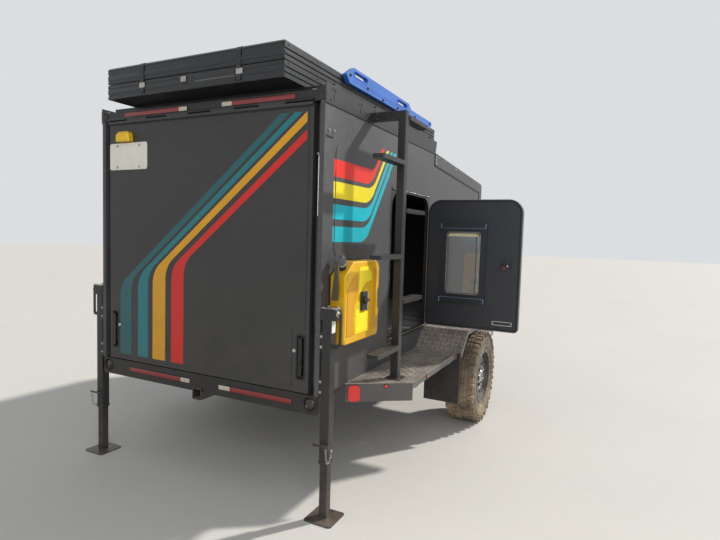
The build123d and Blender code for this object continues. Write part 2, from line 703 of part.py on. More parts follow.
# Gas struts, one each side in the channel between hatch and wall
for side, mark in ((1, "r"), (-1, "l")):
    foot = (side * STRUT_X, STRUT_Y, STRUT_LOW_Z)
    half_eye = STRUT_EYE_T / 2
    with BuildPart() as strut_tube:
        rod((foot[0] - half_eye, STRUT_Y, STRUT_LOW_Z), (foot[0] + half_eye, STRUT_Y, STRUT_LOW_Z),
            STRUT_EYE_R)
        rod((foot[0], STRUT_Y, STRUT_LOW_Z + 5), (foot[0], STRUT_Y, STRUT_LOW_Z + 30), 5)
        rod((foot[0], STRUT_Y, STRUT_LOW_Z + 22),
            (foot[0], STRUT_Y, STRUT_LOW_Z + 22 + STRUT_TUBE_LONG), STRUT_TUBE_R)
        rod((foot[0], STRUT_Y, STRUT_LOW_Z + 40),
            (foot[0], STRUT_Y, STRUT_LOW_Z + 30 + STRUT_TUBE_LONG), STRUT_ROD_R + STRUT_FIT,
            Mode.SUBTRACT)
        rod((foot[0] - 20, STRUT_Y, STRUT_LOW_Z), (foot[0] + 20, STRUT_Y, STRUT_LOW_Z),
            STRUT_STUD_R + STRUT_FIT, Mode.SUBTRACT)
    with BuildPart() as strut_rod:
        rod((foot[0] - half_eye, STRUT_Y, STRUT_HIGH_Z), (foot[0] + half_eye, STRUT_Y, STRUT_HIGH_Z),
            STRUT_EYE_R)
        rod((foot[0], STRUT_Y, STRUT_LOW_Z + 22 + STRUT_ROD_FREE),
            (foot[0], STRUT_Y, STRUT_HIGH_Z - 5), STRUT_ROD_R)
    if side > 0:
        strut_tube_r = strut_tube
        strut_rod_r = strut_rod
    else:
        strut_tube_l = strut_tube
        strut_rod_l = strut_rod

# Side door, built shut on the right and then mirrored or swung open
glass_x = BODY_HALF - DOOR_T / 2
window_y = DOOR_FRONT - WINDOW_FROM_HINGE
window_z = WINDOW_LOW + WINDOW_H / 2
door_in = BODY_HALF - DOOR_T
handle_y = DOOR_FRONT - DOOR_W + HANDLE_FROM_EDGE
with BuildPart() as door_shut:
    with BuildSketch(Plane.YZ.offset(door_in)):
        doorway(0, 0)
        with Locations((window_y, window_z)):
            RectangleRounded(WINDOW_W, WINDOW_H, WINDOW_R, mode=Mode.SUBTRACT)
    extrude(amount=DOOR_T)
    with BuildSketch(Plane.YZ.offset(glass_x - GLASS_T / 2 - SEAT / 2)):
        with Locations((window_y, window_z)):
            RectangleRounded(WINDOW_W + 2 * GLASS_LAP, WINDOW_H + 2 * GLASS_LAP,
                             WINDOW_R + GLASS_LAP)
    extrude(amount=GLASS_T + SEAT, mode=Mode.SUBTRACT)
    with BuildSketch(Plane.YZ.offset(BODY_HALF)):
        with Locations((handle_y, HANDLE_Z)):
            RectangleRounded(HANDLE_W, HANDLE_H, 10)
    extrude(amount=HANDLE_T)
    for hinge_z in HINGE_HEIGHTS:
        low = hinge_z - HINGE_LONG / 6 + 0.5
        high = hinge_z + HINGE_LONG / 6 - 0.5
        rod((hinge_x, hinge_y, low), (hinge_x, hinge_y, high), KNUCKLE_R)
        block(hinge_x - 2, hinge_x + 2, hinge_y - 8, hinge_y, low, high)
        block(BODY_HALF, hinge_x + 2, hinge_y - 11, hinge_y - 8, low, high)
        rod((hinge_x, hinge_y, low - 1), (hinge_x, hinge_y, high + 1), PIN_R + PIN_GAP,
            Mode.SUBTRACT)
        block(BODY_HALF, BODY_HALF + HINGE_T, hinge_y - 8 - HINGE_LEAF, hinge_y - 8,
              hinge_z - HINGE_LONG / 2, hinge_z + HINGE_LONG / 2)

with BuildPart() as glass_shut:
    with BuildSketch(Plane.YZ.offset(glass_x - GLASS_T / 2)):
        with Locations((window_y, window_z)):
            RectangleRounded(WINDOW_W + 2 * GLASS_LAP - 1, WINDOW_H + 2 * GLASS_LAP - 1,
                             WINDOW_R + GLASS_LAP)
    extrude(amount=GLASS_T)

with BuildPart() as frame_shut:
    with BuildSketch(Plane.YZ.offset(door_in)):
        with Locations((window_y, (FRAME_LOW + FRAME_HIGH) / 2)):
            RectangleRounded(FRAME_W, FRAME_HIGH - FRAME_LOW, 12)
        with Locations((window_y, window_z)):
            RectangleRounded(WINDOW_W - 8, WINDOW_H - 8, WINDOW_R - 4, mode=Mode.SUBTRACT)
    extrude(amount=-FRAME_T)
    for cassette_z in (FRAME_LOW + CASSETTE_H / 2, FRAME_HIGH - CASSETTE_H / 2):
        with BuildSketch(Plane.YZ.offset(door_in)):
            with Locations((window_y, cassette_z)):
                RectangleRounded(FRAME_W + 6, CASSETTE_H, 6)
        extrude(amount=-CASSETTE_T)
    with BuildSketch(Plane.YZ.offset(door_in)):
        with Locations((handle_y, HANDLE_Z)):
            RectangleRounded(HANDLE_W, HANDLE_H, 8)
    extrude(amount=-HANDLE_T)

hinge_axis = Axis((hinge_x, hinge_y, 0), (0, 0, 1))
with BuildPart() as door_r:
    add(door_shut.part.rotate(hinge_axis, DOOR_ANGLE))
with BuildPart() as door_glass_r:
    add(glass_shut.part.rotate(hinge_axis, DOOR_ANGLE))
with BuildPart() as door_frame_r:
    add(frame_shut.part.rotate(hinge_axis, DOOR_ANGLE))
with BuildPart() as door_l:
    mirror(door_shut.part, about=Plane.YZ)
with BuildPart() as door_glass_l:
    mirror(glass_shut.part, about=Plane.YZ)
with BuildPart() as door_frame_l:
    mirror(frame_shut.part, about=Plane.YZ)

# Wheels: a steel rim with its hub, and a lugged tyre
wheel_axis = Axis((0, 0, AXLE_Z), (1, 0, 0))
rim_half = RIM_W / 2
inner_flange = rim_half - FLANGE_T
barrel = BEAD_R - 24
# Half section of the rim's outside, from the flange in: place from the middle, radius
RIM_OUTSIDE = (
    (rim_half, FLANGE_R), (inner_flange, FLANGE_R), (inner_flange, BEAD_R),
    (inner_flange - 34, BEAD_R - 1), (inner_flange - 52, barrel),
)
with BuildPart() as rim_r:
    with BuildSketch(Plane.XZ):
        with BuildLine():
            right = [(TYRE_X + x, AXLE_Z + r) for x, r in RIM_OUTSIDE]
            left = [(TYRE_X - x, AXLE_Z + r) for x, r in reversed(RIM_OUTSIDE)]
            under_left = (TYRE_X - rim_half, AXLE_Z + BEAD_R - RIM_T)
            under_right = (TYRE_X + rim_half, AXLE_Z + BEAD_R - RIM_T)
            well = inner_flange - 56
            Polyline(
                *right, *left, under_left,
                (TYRE_X - well, AXLE_Z + barrel - RIM_T), (TYRE_X + well, AXLE_Z + barrel - RIM_T),
                under_right,
                close=True,
            )
        make_face()
        face_x = spindle_end
        vent_low = VENT_CIRCLE_R - VENT_H / 2
        vent_high = VENT_CIRCLE_R + VENT_H / 2
        with BuildLine():
            Polyline(
                (face_x - 8, AXLE_Z + HUB_R - 10), (face_x, AXLE_Z + HUB_R - 10),
                (face_x, AXLE_Z + vent_low - 16), (face_x + 10, AXLE_Z + vent_low - 6),
                (face_x + 10, AXLE_Z + vent_high + 12), (face_x - 22, AXLE_Z + barrel - 2),
                (face_x - 30, AXLE_Z + barrel - 2), (face_x + 2, AXLE_Z + vent_high + 8),
                (face_x + 2, AXLE_Z + vent_low - 3), (face_x - 8, AXLE_Z + vent_low - 13),
                close=True,
            )
        make_face()
        hub_bore = AXLE_Z + SPINDLE_R + SPINDLE_FIT
        with BuildLine():
            Polyline(
                (axle_end + 12, hub_bore), (axle_end + 12, AXLE_Z + HUB_R),
                (face_x + HUB_CAP - 8, AXLE_Z + HUB_R), (face_x + HUB_CAP, AXLE_Z + HUB_R - 12),
                (face_x + HUB_CAP, AXLE_Z), (face_x + 4, AXLE_Z), (face_x + 4, hub_bore),
                close=True,
            )
        make_face()
    revolve(axis=wheel_axis)
    wheel_plane = Plane(origin=(face_x - 40, 0, AXLE_Z), x_dir=(0, 1, 0), z_dir=(1, 0, 0))
    with BuildSketch(wheel_plane):
        with PolarLocations(VENT_CIRCLE_R, VENT_COUNT):
            Rectangle(VENT_H, VENT_W)
    extrude(amount=60, mode=Mode.SUBTRACT)
    with BuildSketch(wheel_plane.offset(36)):
        with PolarLocations(STUD_CIRCLE_R, STUD_COUNT):
            RegularPolygon(STUD_R, 6)
    extrude(amount=26)

half_tyre = TYRE_W / 2
toe = inner_flange - SEAT
tread_r = TYRE_R - TREAD_H
# Half section of the tyre from the outside of its bead over the tread: place, radius
TYRE_OUTSIDE = (
    (toe, BEAD_R + SEAT), (toe, FLANGE_R + 2), (half_tyre, FLANGE_R + 50),
    (half_tyre - 7, tread_r - 16), (half_tyre - 20, tread_r),
)
TYRE_INSIDE = ((toe - TYRE_WALL, BEAD_R + SEAT), (half_tyre - 2 * TYRE_WALL, tread_r - TYRE_WALL))
LUG_END = half_tyre - 22
with BuildPart() as tyre_r:
    with BuildSketch(Plane.XZ):
        outside = [(TYRE_X + x, AXLE_Z + r) for x, r in TYRE_OUTSIDE]
        outside += [(TYRE_X - x, AXLE_Z + r) for x, r in reversed(TYRE_OUTSIDE)]
        inside = [(TYRE_X - x, AXLE_Z + r) for x, r in TYRE_INSIDE]
        inside += [(TYRE_X + x, AXLE_Z + r) for x, r in reversed(TYRE_INSIDE)]
        with BuildLine():
            Polyline(*outside, *inside, close=True)
        make_face()
    revolve(axis=wheel_axis)
    lug_turn = 360 / LUG_COUNT
    lug_long = 2 * TYRE_R * 3.14159 / LUG_COUNT * LUG_SHARE
    for side in (1, -1):
        lug_plane = Plane(origin=(TYRE_X + side * (LUG_END - LUG_W), 0, AXLE_Z), x_dir=(0, 1, 0),
                          z_dir=(side, 0, 0))
        with BuildSketch(lug_plane):
            with PolarLocations(TYRE_R - TREAD_H, LUG_COUNT, start_angle=(1 - side) * lug_turn / 4):
                Rectangle(2 * TREAD_H, lug_long)
        extrude(amount=LUG_W)

with BuildPart() as rim_l:
    mirror(rim_r.part, about=Plane.YZ)
with BuildPart() as tyre_l:
    mirror(tyre_r.part, about=Plane.YZ)

# Fenders: folded sheet over each wheel
with BuildPart() as fenders:
    with BuildSketch(Plane.YZ.offset(BODY_HALF)):
        with BuildLine():
            over = Polyline(
                (-FENDER_FOOT, DECK_Z), (-FENDER_FOOT, DECK_Z + SHEET),
                (-FENDER_FLAT, FENDER_TOP), (FENDER_FLAT, FENDER_TOP),
                (FENDER_FOOT, DECK_Z + SHEET), (FENDER_FOOT, DECK_Z),
                (FENDER_FOOT - SHEET, DECK_Z), (FENDER_FLAT - 1, FENDER_TOP - SHEET),
                (1 - FENDER_FLAT, FENDER_TOP - SHEET), (SHEET - FENDER_FOOT, DECK_Z),
                close=True,
            )
        make_face()
    extrude(amount=FENDER_OUT - BODY_HALF)
    with BuildSketch(Plane.YZ.offset(FENDER_OUT - SHEET)):
        with BuildLine():
            Polyline(
                (-FENDER_FOOT, DECK_Z), (-FENDER_FLAT, FENDER_TOP - SHEET),
                (FENDER_FLAT, FENDER_TOP - SHEET), (FENDER_FOOT, DECK_Z),
                (FENDER_FOOT, DECK_Z - FENDER_LIP), (FENDER_FOOT - FENDER_LIP, DECK_Z - FENDER_LIP),
                (FENDER_FLAT - 12, FENDER_TOP - SHEET - FENDER_LIP),
                (12 - FENDER_FLAT, FENDER_TOP - SHEET - FENDER_LIP),
                (FENDER_LIP - FENDER_FOOT, DECK_Z - FENDER_LIP),
                (-FENDER_FOOT, DECK_Z - FENDER_LIP), close=True,
            )
        make_face()
    extrude(amount=SHEET)
    mirror(about=Plane.YZ)

# Mudflaps behind the wheels
with BuildPart() as mudflaps:
    block(FLAP_IN, FLAP_IN + FLAP_W, -FENDER_FOOT, FLAP_T - FENDER_FOOT, FLAP_LOW, DECK_Z)
    mirror(about=Plane.YZ)

# Side platforms: plate with folded lips, a swept rear edge with its skirt, and brackets
with BuildPart() as platforms:
    with BuildSketch(Plane.XY.offset(DECK_Z)):
        with BuildLine():
            Polyline(
                (BODY_HALF, PLATFORM_REAR_IN), (PLATFORM_OUT, PLATFORM_REAR_OUT),
                (PLATFORM_OUT, PLATFORM_FRONT), (BODY_HALF, PLATFORM_FRONT), close=True,
            )
        make_face()
    extrude(amount=SHEET)
    block(PLATFORM_OUT - SHEET, PLATFORM_OUT, PLATFORM_REAR_OUT, PLATFORM_FRONT,
          DECK_Z - PLATFORM_LIP, DECK_Z)
    with BuildSketch(Plane.XY.offset(DECK_Z - SKIRT_H)):
        with BuildLine():
            Line((BODY_HALF + 4, PLATFORM_REAR_IN + 6), (PLATFORM_OUT - 1, PLATFORM_REAR_OUT + 3))
        trace(line_width=SHEET)
    extrude(amount=SKIRT_H)
    for bracket_y in BRACKET_PLACES:
        block(RAIL_X + RAIL_W / 2, PLATFORM_OUT - SHEET, bracket_y - BRACKET_W / 2,
              bracket_y + BRACKET_W / 2, DECK_Z - BRACKET_W, DECK_Z)
    mirror(about=Plane.YZ)

# Red tail lamps on the skirts of the platforms
sweep = Vector(PLATFORM_OUT - BODY_HALF, PLATFORM_REAR_OUT - PLATFORM_REAR_IN, 0).normalized()
rearward = Vector(sweep.Y, -sweep.X, 0)
with BuildPart() as tail_lamps:
    lamp_spot = Vector(BODY_HALF + 4, PLATFORM_REAR_IN + 6, DECK_Z - SKIRT_H / 2 - 2)
    lamp_spot = lamp_spot + sweep * (TAIL_LAMP_W / 2 + 12) + rearward * (SHEET / 2)
    with BuildSketch(Plane(origin=lamp_spot, x_dir=sweep, z_dir=rearward)):
        RectangleRounded(TAIL_LAMP_W, TAIL_LAMP_H, 20)
    extrude(amount=TAIL_LAMP_T)
    mirror(about=Plane.YZ)

# Rear corner jacks: square outer tubes with gear box and crank, fixed to the wall
with BuildPart() as jack_housings:
    with BuildSketch(Plane.XY.offset(JACK_LOW_Z)):
        with Locations((JACK_X, JACK_Y)):
            RectangleRounded(JACK_OUT, JACK_OUT, 5)
            Rectangle(JACK_OUT - 2 * JACK_WALL, JACK_OUT - 2 * JACK_WALL, mode=Mode.SUBTRACT)
    extrude(amount=JACK_TOP - JACK_LOW_Z)
    with BuildSketch(Plane.XY.offset(JACK_TOP)):
        with Locations((JACK_X + 8, JACK_Y)):
            RectangleRounded(GEARBOX_W, GEARBOX_D, 8)
    extrude(amount=GEARBOX_H)
    chamfer(jack_housings.faces().sort_by(Axis.Z)[-1].edges(), 5)
    for foot_z in (DECK_Z + 6, JACK_TOP - 150):
        block(BODY_HALF, JACK_X - JACK_OUT / 2, JACK_Y - 22, JACK_Y + 40, foot_z, foot_z + 90)
    crank_z = JACK_TOP + GEARBOX_H / 2
    crank_x = JACK_X + 8 + GEARBOX_W / 2
    crank_y = JACK_Y - 8
    rod((crank_x - 6, crank_y, crank_z), (crank_x + 22, crank_y, crank_z), CRANK_R)
    rod((crank_x + 16, crank_y, crank_z), (crank_x + 16, crank_y, crank_z - CRANK_LONG), CRANK_R)
    rod((crank_x + 10, crank_y, crank_z - CRANK_LONG),
        (crank_x - 26, crank_y, crank_z - CRANK_LONG), CRANK_R + 3)
    rod((JACK_X, JACK_Y - JACK_OUT / 2 - 26, PIN_Z), (JACK_X, JACK_Y - JACK_OUT / 2 + 2, PIN_Z),
        PIN_BAR_R)
    rod((JACK_X - PIN_HANDLE / 2, JACK_Y - JACK_OUT / 2 - 26, PIN_Z),
        (JACK_X + PIN_HANDLE / 2, JACK_Y - JACK_OUT / 2 - 26, PIN_Z), PIN_BAR_R)
    mirror(about=Plane.YZ)

# Inner legs of the rear jacks, each with its foot plate
for side, mark in ((1, "r"), (-1, "l")):
    with BuildPart() as jack_leg:
        with BuildSketch(Plane.XY.offset(FOOT_T)):
            with Locations((side * JACK_X, JACK_Y)):
                RectangleRounded(JACK_LEG, JACK_LEG, 4)
                Rectangle(JACK_LEG - 2 * JACK_LEG_WALL, JACK_LEG - 2 * JACK_LEG_WALL,
                          mode=Mode.SUBTRACT)
        extrude(amount=JACK_LEG_TOP - FOOT_T)
        with BuildSketch(Plane.XY):
            with Locations((side * JACK_X, JACK_Y)):
                RectangleRounded(JACK_FOOT, JACK_FOOT, 14)
        extrude(amount=FOOT_T)
    if side > 0:
        jack_leg_r = jack_leg
    else:
        jack_leg_l = jack_leg

# Tongue jack: round housing through the gusset, and its leg with a round foot
with BuildPart() as nose_jack:
    with BuildSketch(Plane.XY.offset(NOSE_JACK_LOW_Z)):
        with Locations((0, NOSE_JACK_Y)):
            Circle(NOSE_JACK_R)
            Circle(NOSE_JACK_R - NOSE_JACK_WALL, mode=Mode.SUBTRACT)
    extrude(amount=NOSE_JACK_TOP - NOSE_JACK_LOW_Z)
    with BuildSketch(Plane.XY.offset(NOSE_JACK_TOP)):
        with Locations((0, NOSE_JACK_Y)):
            RectangleRounded(NOSE_HEAD_W, NOSE_HEAD_D, 16)
    extrude(amount=NOSE_HEAD_H)
    chamfer(nose_jack.faces().sort_by(Axis.Z)[-1].edges(), 6)
    with BuildSketch(Plane.XY.offset(DECK_Z)):
        with Locations((0, NOSE_JACK_Y)):
            Circle(NOSE_JACK_R + NOSE_COLLAR_W)
            Circle(NOSE_JACK_R - 1, mode=Mode.SUBTRACT)
    extrude(amount=NOSE_COLLAR_T)
    arm_x = NOSE_HEAD_W / 2 + 23
    arm_z = NOSE_JACK_TOP + NOSE_HEAD_H / 2
    grip_y = NOSE_JACK_Y - CRANK_LONG
    rod((arm_x - 30, NOSE_JACK_Y, arm_z), (arm_x + 8, NOSE_JACK_Y, arm_z), CRANK_R + 1)
    rod((arm_x, NOSE_JACK_Y, arm_z), (arm_x, grip_y, arm_z), CRANK_R)
    rod((arm_x - 6, grip_y, arm_z), (arm_x + PIN_HANDLE, grip_y, arm_z), CRANK_R + 5)

with BuildPart() as nose_jack_leg:
    with BuildSketch(Plane.XY.offset(FOOT_T)):
        with Locations((0, NOSE_JACK_Y)):
            Circle(NOSE_LEG_R)
            Circle(NOSE_LEG_R - JACK_LEG_WALL, mode=Mode.SUBTRACT)
    extrude(amount=NOSE_LEG_TOP - FOOT_T)
    with BuildSketch(Plane.XY):
        with Locations((0, NOSE_JACK_Y)):
            Circle(NOSE_FOOT_R)
    extrude(amount=FOOT_T)

# Ladder: one square post on the platform with steps to either side in turn
with BuildPart() as ladder:
    with BuildSketch(Plane.XY.offset(DECK_Z + SHEET)):
        with Locations((POST_X, POST_Y)):
            RectangleRounded(POST, POST, 4)
    extrude(amount=POST_TOP - DECK_Z - SHEET)
    block(POST_X - POST, POST_X + POST, POST_Y - POST, POST_Y + POST,
          DECK_Z + SHEET, DECK_Z + SHEET + 5)
    for step in range(STEP_COUNT):
        way = -1 if step % 2 == 0 else 1
        step_z = STEP_FIRST + step * STEP_PITCH
        step_mid = POST_Y + way * (STEP_LONG / 2 + POST / 2 - 1)
        with BuildSketch(Plane.XY.offset(step_z - STEP_T)):
            with Locations((POST_X, step_mid)):
                RectangleRounded(STEP_WIDE, STEP_LONG, 8)
        extrude(amount=STEP_T)
    block(BODY_HALF + RACK_T, POST_X, POST_Y - POST / 2, POST_Y + POST / 2,
          POST_TOP - POST, POST_TOP)

# Fuel can: a flat moulded can with bevelled edges, a waist and a recess for its lock
can_x = BODY_HALF + CAN_STAND
can_front = CAN_REAR + CAN_W
can_top = CAN_LOW + CAN_H
can_mid_y = CAN_REAR + CAN_W / 2
can_mid_z = CAN_LOW + CAN_H / 2
with BuildPart() as fuel_can:
    with BuildSketch(Plane.YZ.offset(can_x)):
        with BuildLine():
            FilletPolyline(
                (CAN_REAR, CAN_LOW), (can_front, CAN_LOW),
                (can_front, can_mid_z - 60), (can_front - CAN_WAIST, can_mid_z - 40),
                (can_front - CAN_WAIST, can_mid_z + 40), (can_front, can_mid_z + 60),
                (can_front, can_top), (CAN_REAR + 90, can_top), (CAN_REAR, can_top - 70),
                radius=(30, 30, 8, 8, 8, 8, CAN_CORNER, 12, 12), close=True,
            )
        make_face()
        with Locations((can_mid_y, can_mid_z)):
            Circle(CAN_LOCK_R + 4, mode=Mode.SUBTRACT)
    extrude(amount=CAN_T)
    chamfer(fuel_can.faces().sort_by(Axis.X)[-1].outer_wire().edges(), CAN_BEVEL)

with BuildPart() as fuel_can_mount:
    with BuildSketch(Plane.YZ.offset(BODY_HALF)):
        with Locations((can_mid_y, can_mid_z)):
            RectangleRounded(CAN_PLATE_W, CAN_PLATE_H, 12)
    extrude(amount=CAN_STAND)
    with BuildSketch(Plane.YZ.offset(BODY_HALF)):
        with Locations((can_mid_y, can_mid_z)):
            Circle(CAN_LOCK_R)
    extrude(amount=CAN_STAND + CAN_T + 2)
    with BuildSketch(Plane.YZ.offset(can_x + CAN_T)):
        with Locations((can_mid_y, can_mid_z)):
            RectangleRounded(CAN_LOCK_R * 2 + 12, 96, 10)
    extrude(amount=14)
    cap_y = CAN_REAR + 46
    cap_z = can_top - 34
    rod((can_x + CAN_T / 2, cap_y, cap_z), (can_x + CAN_T / 2, cap_y - 20, cap_z + 26), CAP_R - 9)
    rod((can_x + CAN_T / 2, cap_y - 20, cap_z + 26), (can_x + CAN_T / 2, cap_y - 40, cap_z + 52),
        CAP_R)

# Roof rack: side plates, rear header with its foot, and crossbars
with BuildPart() as roof_rack:
    with BuildSketch(Plane.YZ.offset(BODY_HALF)):
        with BuildLine():
            Polyline(
                (BODY_REAR, RACK_LOW), (RACK_FRONT, RACK_LOW), (RACK_FRONT + 26, RACK_TOP),
                (BODY_REAR, RACK_TOP), close=True,
            )
        make_face()
    extrude(amount=RACK_T)
    for slot_y in RACK_SLOTS:
        with BuildSketch(Plane.YZ.offset(BODY_HALF)):
            with Locations((BODY_REAR + slot_y, RACK_TOP - 22)):
                with GridLocations(24, 0, 2, 1):
                    Rectangle(9, 18)
            with Locations((BODY_REAR + slot_y, RACK_TOP - 54)):
                Rectangle(7, 28)
        extrude(amount=RACK_T, mode=Mode.SUBTRACT)
    block(0, BODY_HALF, BODY_REAR, BODY_REAR + RACK_T, ROOF_REAR_Z, ROOF_REAR_Z + HEADER_H)
    block(0, BODY_HALF, BODY_REAR, BODY_REAR + HEADER_FOOT, ROOF_REAR_Z, ROOF_REAR_Z + RACK_T)
    for bar in range(BAR_COUNT):
        bar_y = BODY_REAR + BAR_FIRST + bar * BAR_PITCH
        block(0, BODY_HALF, bar_y - BAR_W / 2, bar_y + BAR_W / 2, BAR_TOP - BAR_H, BAR_TOP)
    mirror(about=Plane.YZ)
    for knuckle in range(0, HATCH_KNUCKLES, 2):
        left = -HATCH_HALF + knuckle * knuckle_long
        rod((left, HATCH_PIN_Y, HATCH_PIN_Z), (left + knuckle_long, HATCH_PIN_Y, HATCH_PIN_Z), KNUCKLE_R)
        block(left, left + knuckle_long, HATCH_PIN_Y, BODY_REAR, HATCH_PIN_Z, HATCH_PIN_Z + 4)
    rod((-HATCH_HALF, HATCH_PIN_Y, HATCH_PIN_Z), (HATCH_HALF, HATCH_PIN_Y, HATCH_PIN_Z), PIN_R)

# Roof tent: a shallow base and a lid, both framed by grooved rails and hinged at the front
tent_pin_y = TENT_FRONT + TENT_PIN_OUT
tent_pin_z = TENT_SPLIT - TENT_GAP / 2
base_top = TENT_SPLIT - TENT_GAP
half_knuckle = TENT_KNUCKLE / 2
with BuildPart() as tent_base:
    block(-TENT_HALF, TENT_HALF, TENT_REAR, TENT_FRONT, BAR_TOP, base_top)
    block(TENT_RAIL - TENT_HALF, TENT_HALF - TENT_RAIL, TENT_REAR + TENT_RAIL,
          TENT_FRONT - TENT_RAIL, BAR_TOP + TENT_FLOOR, base_top, Mode.SUBTRACT)
    for groove in (0, 1):
        groove_z = BAR_TOP + GROOVE_FIRST + groove * GROOVE_PITCH
        block(TENT_HALF - TENT_GROOVE, TENT_HALF, TENT_REAR, TENT_FRONT,
              groove_z, groove_z + GROOVE_H, Mode.SUBTRACT)
        block(-TENT_HALF, TENT_GROOVE - TENT_HALF, TENT_REAR, TENT_FRONT,
              groove_z, groove_z + GROOVE_H, Mode.SUBTRACT)
    for mid_x in (-TENT_HINGE_X, TENT_HINGE_X):
        for low_x, high_x in ((mid_x - 3 * half_knuckle, mid_x - half_knuckle - 1),
                              (mid_x + half_knuckle + 1, mid_x + 3 * half_knuckle)):
            rod((low_x, tent_pin_y, tent_pin_z), (high_x, tent_pin_y, tent_pin_z), TENT_KNUCKLE_R)
            block(low_x, high_x, TENT_FRONT, tent_pin_y, base_top - TENT_KNUCKLE, base_top - 1)
        rod((mid_x - 3 * half_knuckle, tent_pin_y, tent_pin_z),
            (mid_x + 3 * half_knuckle, tent_pin_y, tent_pin_z), PIN_R)

with BuildPart() as tent_lid:
    block(-TENT_HALF, TENT_HALF, TENT_REAR, TENT_FRONT, TENT_SPLIT, TENT_TOP)
    chamfer(tent_lid.faces().sort_by(Axis.Z)[-1].edges(), TENT_SKIN)
    block(TENT_RAIL - TENT_HALF, TENT_HALF - TENT_RAIL, TENT_REAR + TENT_RAIL,
          TENT_FRONT - TENT_RAIL, TENT_SPLIT, TENT_TOP - TENT_SKIN, Mode.SUBTRACT)
    for groove in (0, 1):
        groove_z = TENT_SPLIT + GROOVE_FIRST + groove * GROOVE_PITCH
        block(TENT_HALF - TENT_GROOVE, TENT_HALF, TENT_REAR, TENT_FRONT,
              groove_z, groove_z + GROOVE_H, Mode.SUBTRACT)
        block(-TENT_HALF, TENT_GROOVE - TENT_HALF, TENT_REAR, TENT_FRONT,
              groove_z, groove_z + GROOVE_H, Mode.SUBTRACT)
    for mid_x in (-TENT_HINGE_X, TENT_HINGE_X):
        low_x = mid_x - half_knuckle
        high_x = mid_x + half_knuckle
        rod((low_x, tent_pin_y, tent_pin_z), (high_x, tent_pin_y, tent_pin_z), TENT_KNUCKLE_R)
        block(low_x, high_x, TENT_FRONT, tent_pin_y, TENT_SPLIT + 1, TENT_SPLIT + TENT_KNUCKLE)
        rod((low_x - 1, tent_pin_y, tent_pin_z), (high_x + 1, tent_pin_y, tent_pin_z),
            PIN_R + PIN_GAP, Mode.SUBTRACT)

# Folded bedding and cloth inside the roof tent
with BuildPart() as tent_bedding:
    inset = TENT_RAIL + 12
    block(inset - TENT_HALF, TENT_HALF - inset, TENT_REAR + inset, TENT_FRONT - inset,
          BAR_TOP + TENT_FLOOR + SEAT, TENT_TOP - TENT_SKIN - 10)

# Long blue board on the lid's right rail, with two hand slots
board_step = BOARD_REAR + BOARD_WIDE_LONG
board_front = BOARD_REAR + BOARD_LONG
board_high = BOARD_LOW + BOARD_H
board_slim = BOARD_LOW + BOARD_SLIM_H
with BuildPart() as side_board:
    with BuildSketch(Plane.YZ.offset(TENT_HALF)):
        with BuildLine():
            FilletPolyline(
                (BOARD_REAR, BOARD_LOW + 40), (BOARD_REAR + 46, BOARD_LOW),
                (board_front - 60, BOARD_LOW + 8), (board_front, BOARD_LOW + 34),
                (board_front, board_slim), (board_step + 30, board_slim),
                (board_step - 20, board_high), (BOARD_REAR + 90, board_high),
                radius=(8, 12, 12, 8, 8, 10, 14, 14), close=True,
            )
        make_face()
        slot_z = board_high - BOARD_SLOT_DROP
        with Locations((BOARD_REAR + BOARD_SLOT_REAR, slot_z), (board_step - BOARD_SLOT_FRONT, slot_z)):
            SlotOverall(BOARD_SLOT_LONG, BOARD_SLOT_H, mode=Mode.SUBTRACT)
    extrude(amount=BOARD_T)

PIECES = {
    "chassis_frame": chassis_frame, "coupler": coupler, "receiver": receiver,
    "rear_bumper": rear_bumper, "bumper_lamps": bumper_lamps, "axle_beam": axle_beam,
    "leaf_springs": leaf_springs, "floor": floor, "side_wall_r": side_wall_r,
    "side_wall_l": side_wall_l, "door_posts": door_posts,
    "door_heads": door_heads, "roof": roof, "front_wall": front_wall,
    "hatch_jamb": hatch_jamb, "galley": galley, "mattress": mattress,
    "hatch_panel": hatch_panel, "hatch_latches": hatch_latches, "plate_lamp": plate_lamp,
    "strut_tube_r": strut_tube_r, "strut_tube_l": strut_tube_l, "strut_rod_r": strut_rod_r,
    "strut_rod_l": strut_rod_l, "door_r": door_r, "door_l": door_l,
    "door_glass_r": door_glass_r, "door_glass_l": door_glass_l, "door_frame_r": door_frame_r,
    "door_frame_l": door_frame_l, "rim_r": rim_r, "rim_l": rim_l, "tyre_r": tyre_r,
    "tyre_l": tyre_l, "fenders": fenders, "mudflaps": mudflaps, "platforms": platforms,
    "tail_lamps": tail_lamps, "jack_housings": jack_housings, "jack_leg_r": jack_leg_r,
    "jack_leg_l": jack_leg_l, "nose_jack": nose_jack, "nose_jack_leg": nose_jack_leg,
    "ladder": ladder, "fuel_can": fuel_can, "fuel_can_mount": fuel_can_mount,
    "roof_rack": roof_rack, "tent_base": tent_base, "tent_lid": tent_lid,
    "tent_bedding": tent_bedding, "side_board": side_board,
}
os.makedirs("parts", exist_ok=True)
for name, piece in PIECES.items():
    piece.part.label = name
    export_step(piece.part, f"parts/{name}.step")
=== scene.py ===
import json
import math
import bmesh
import bpy
from mathutils import Matrix, Vector
from mathutils.bvhtree import BVHTree


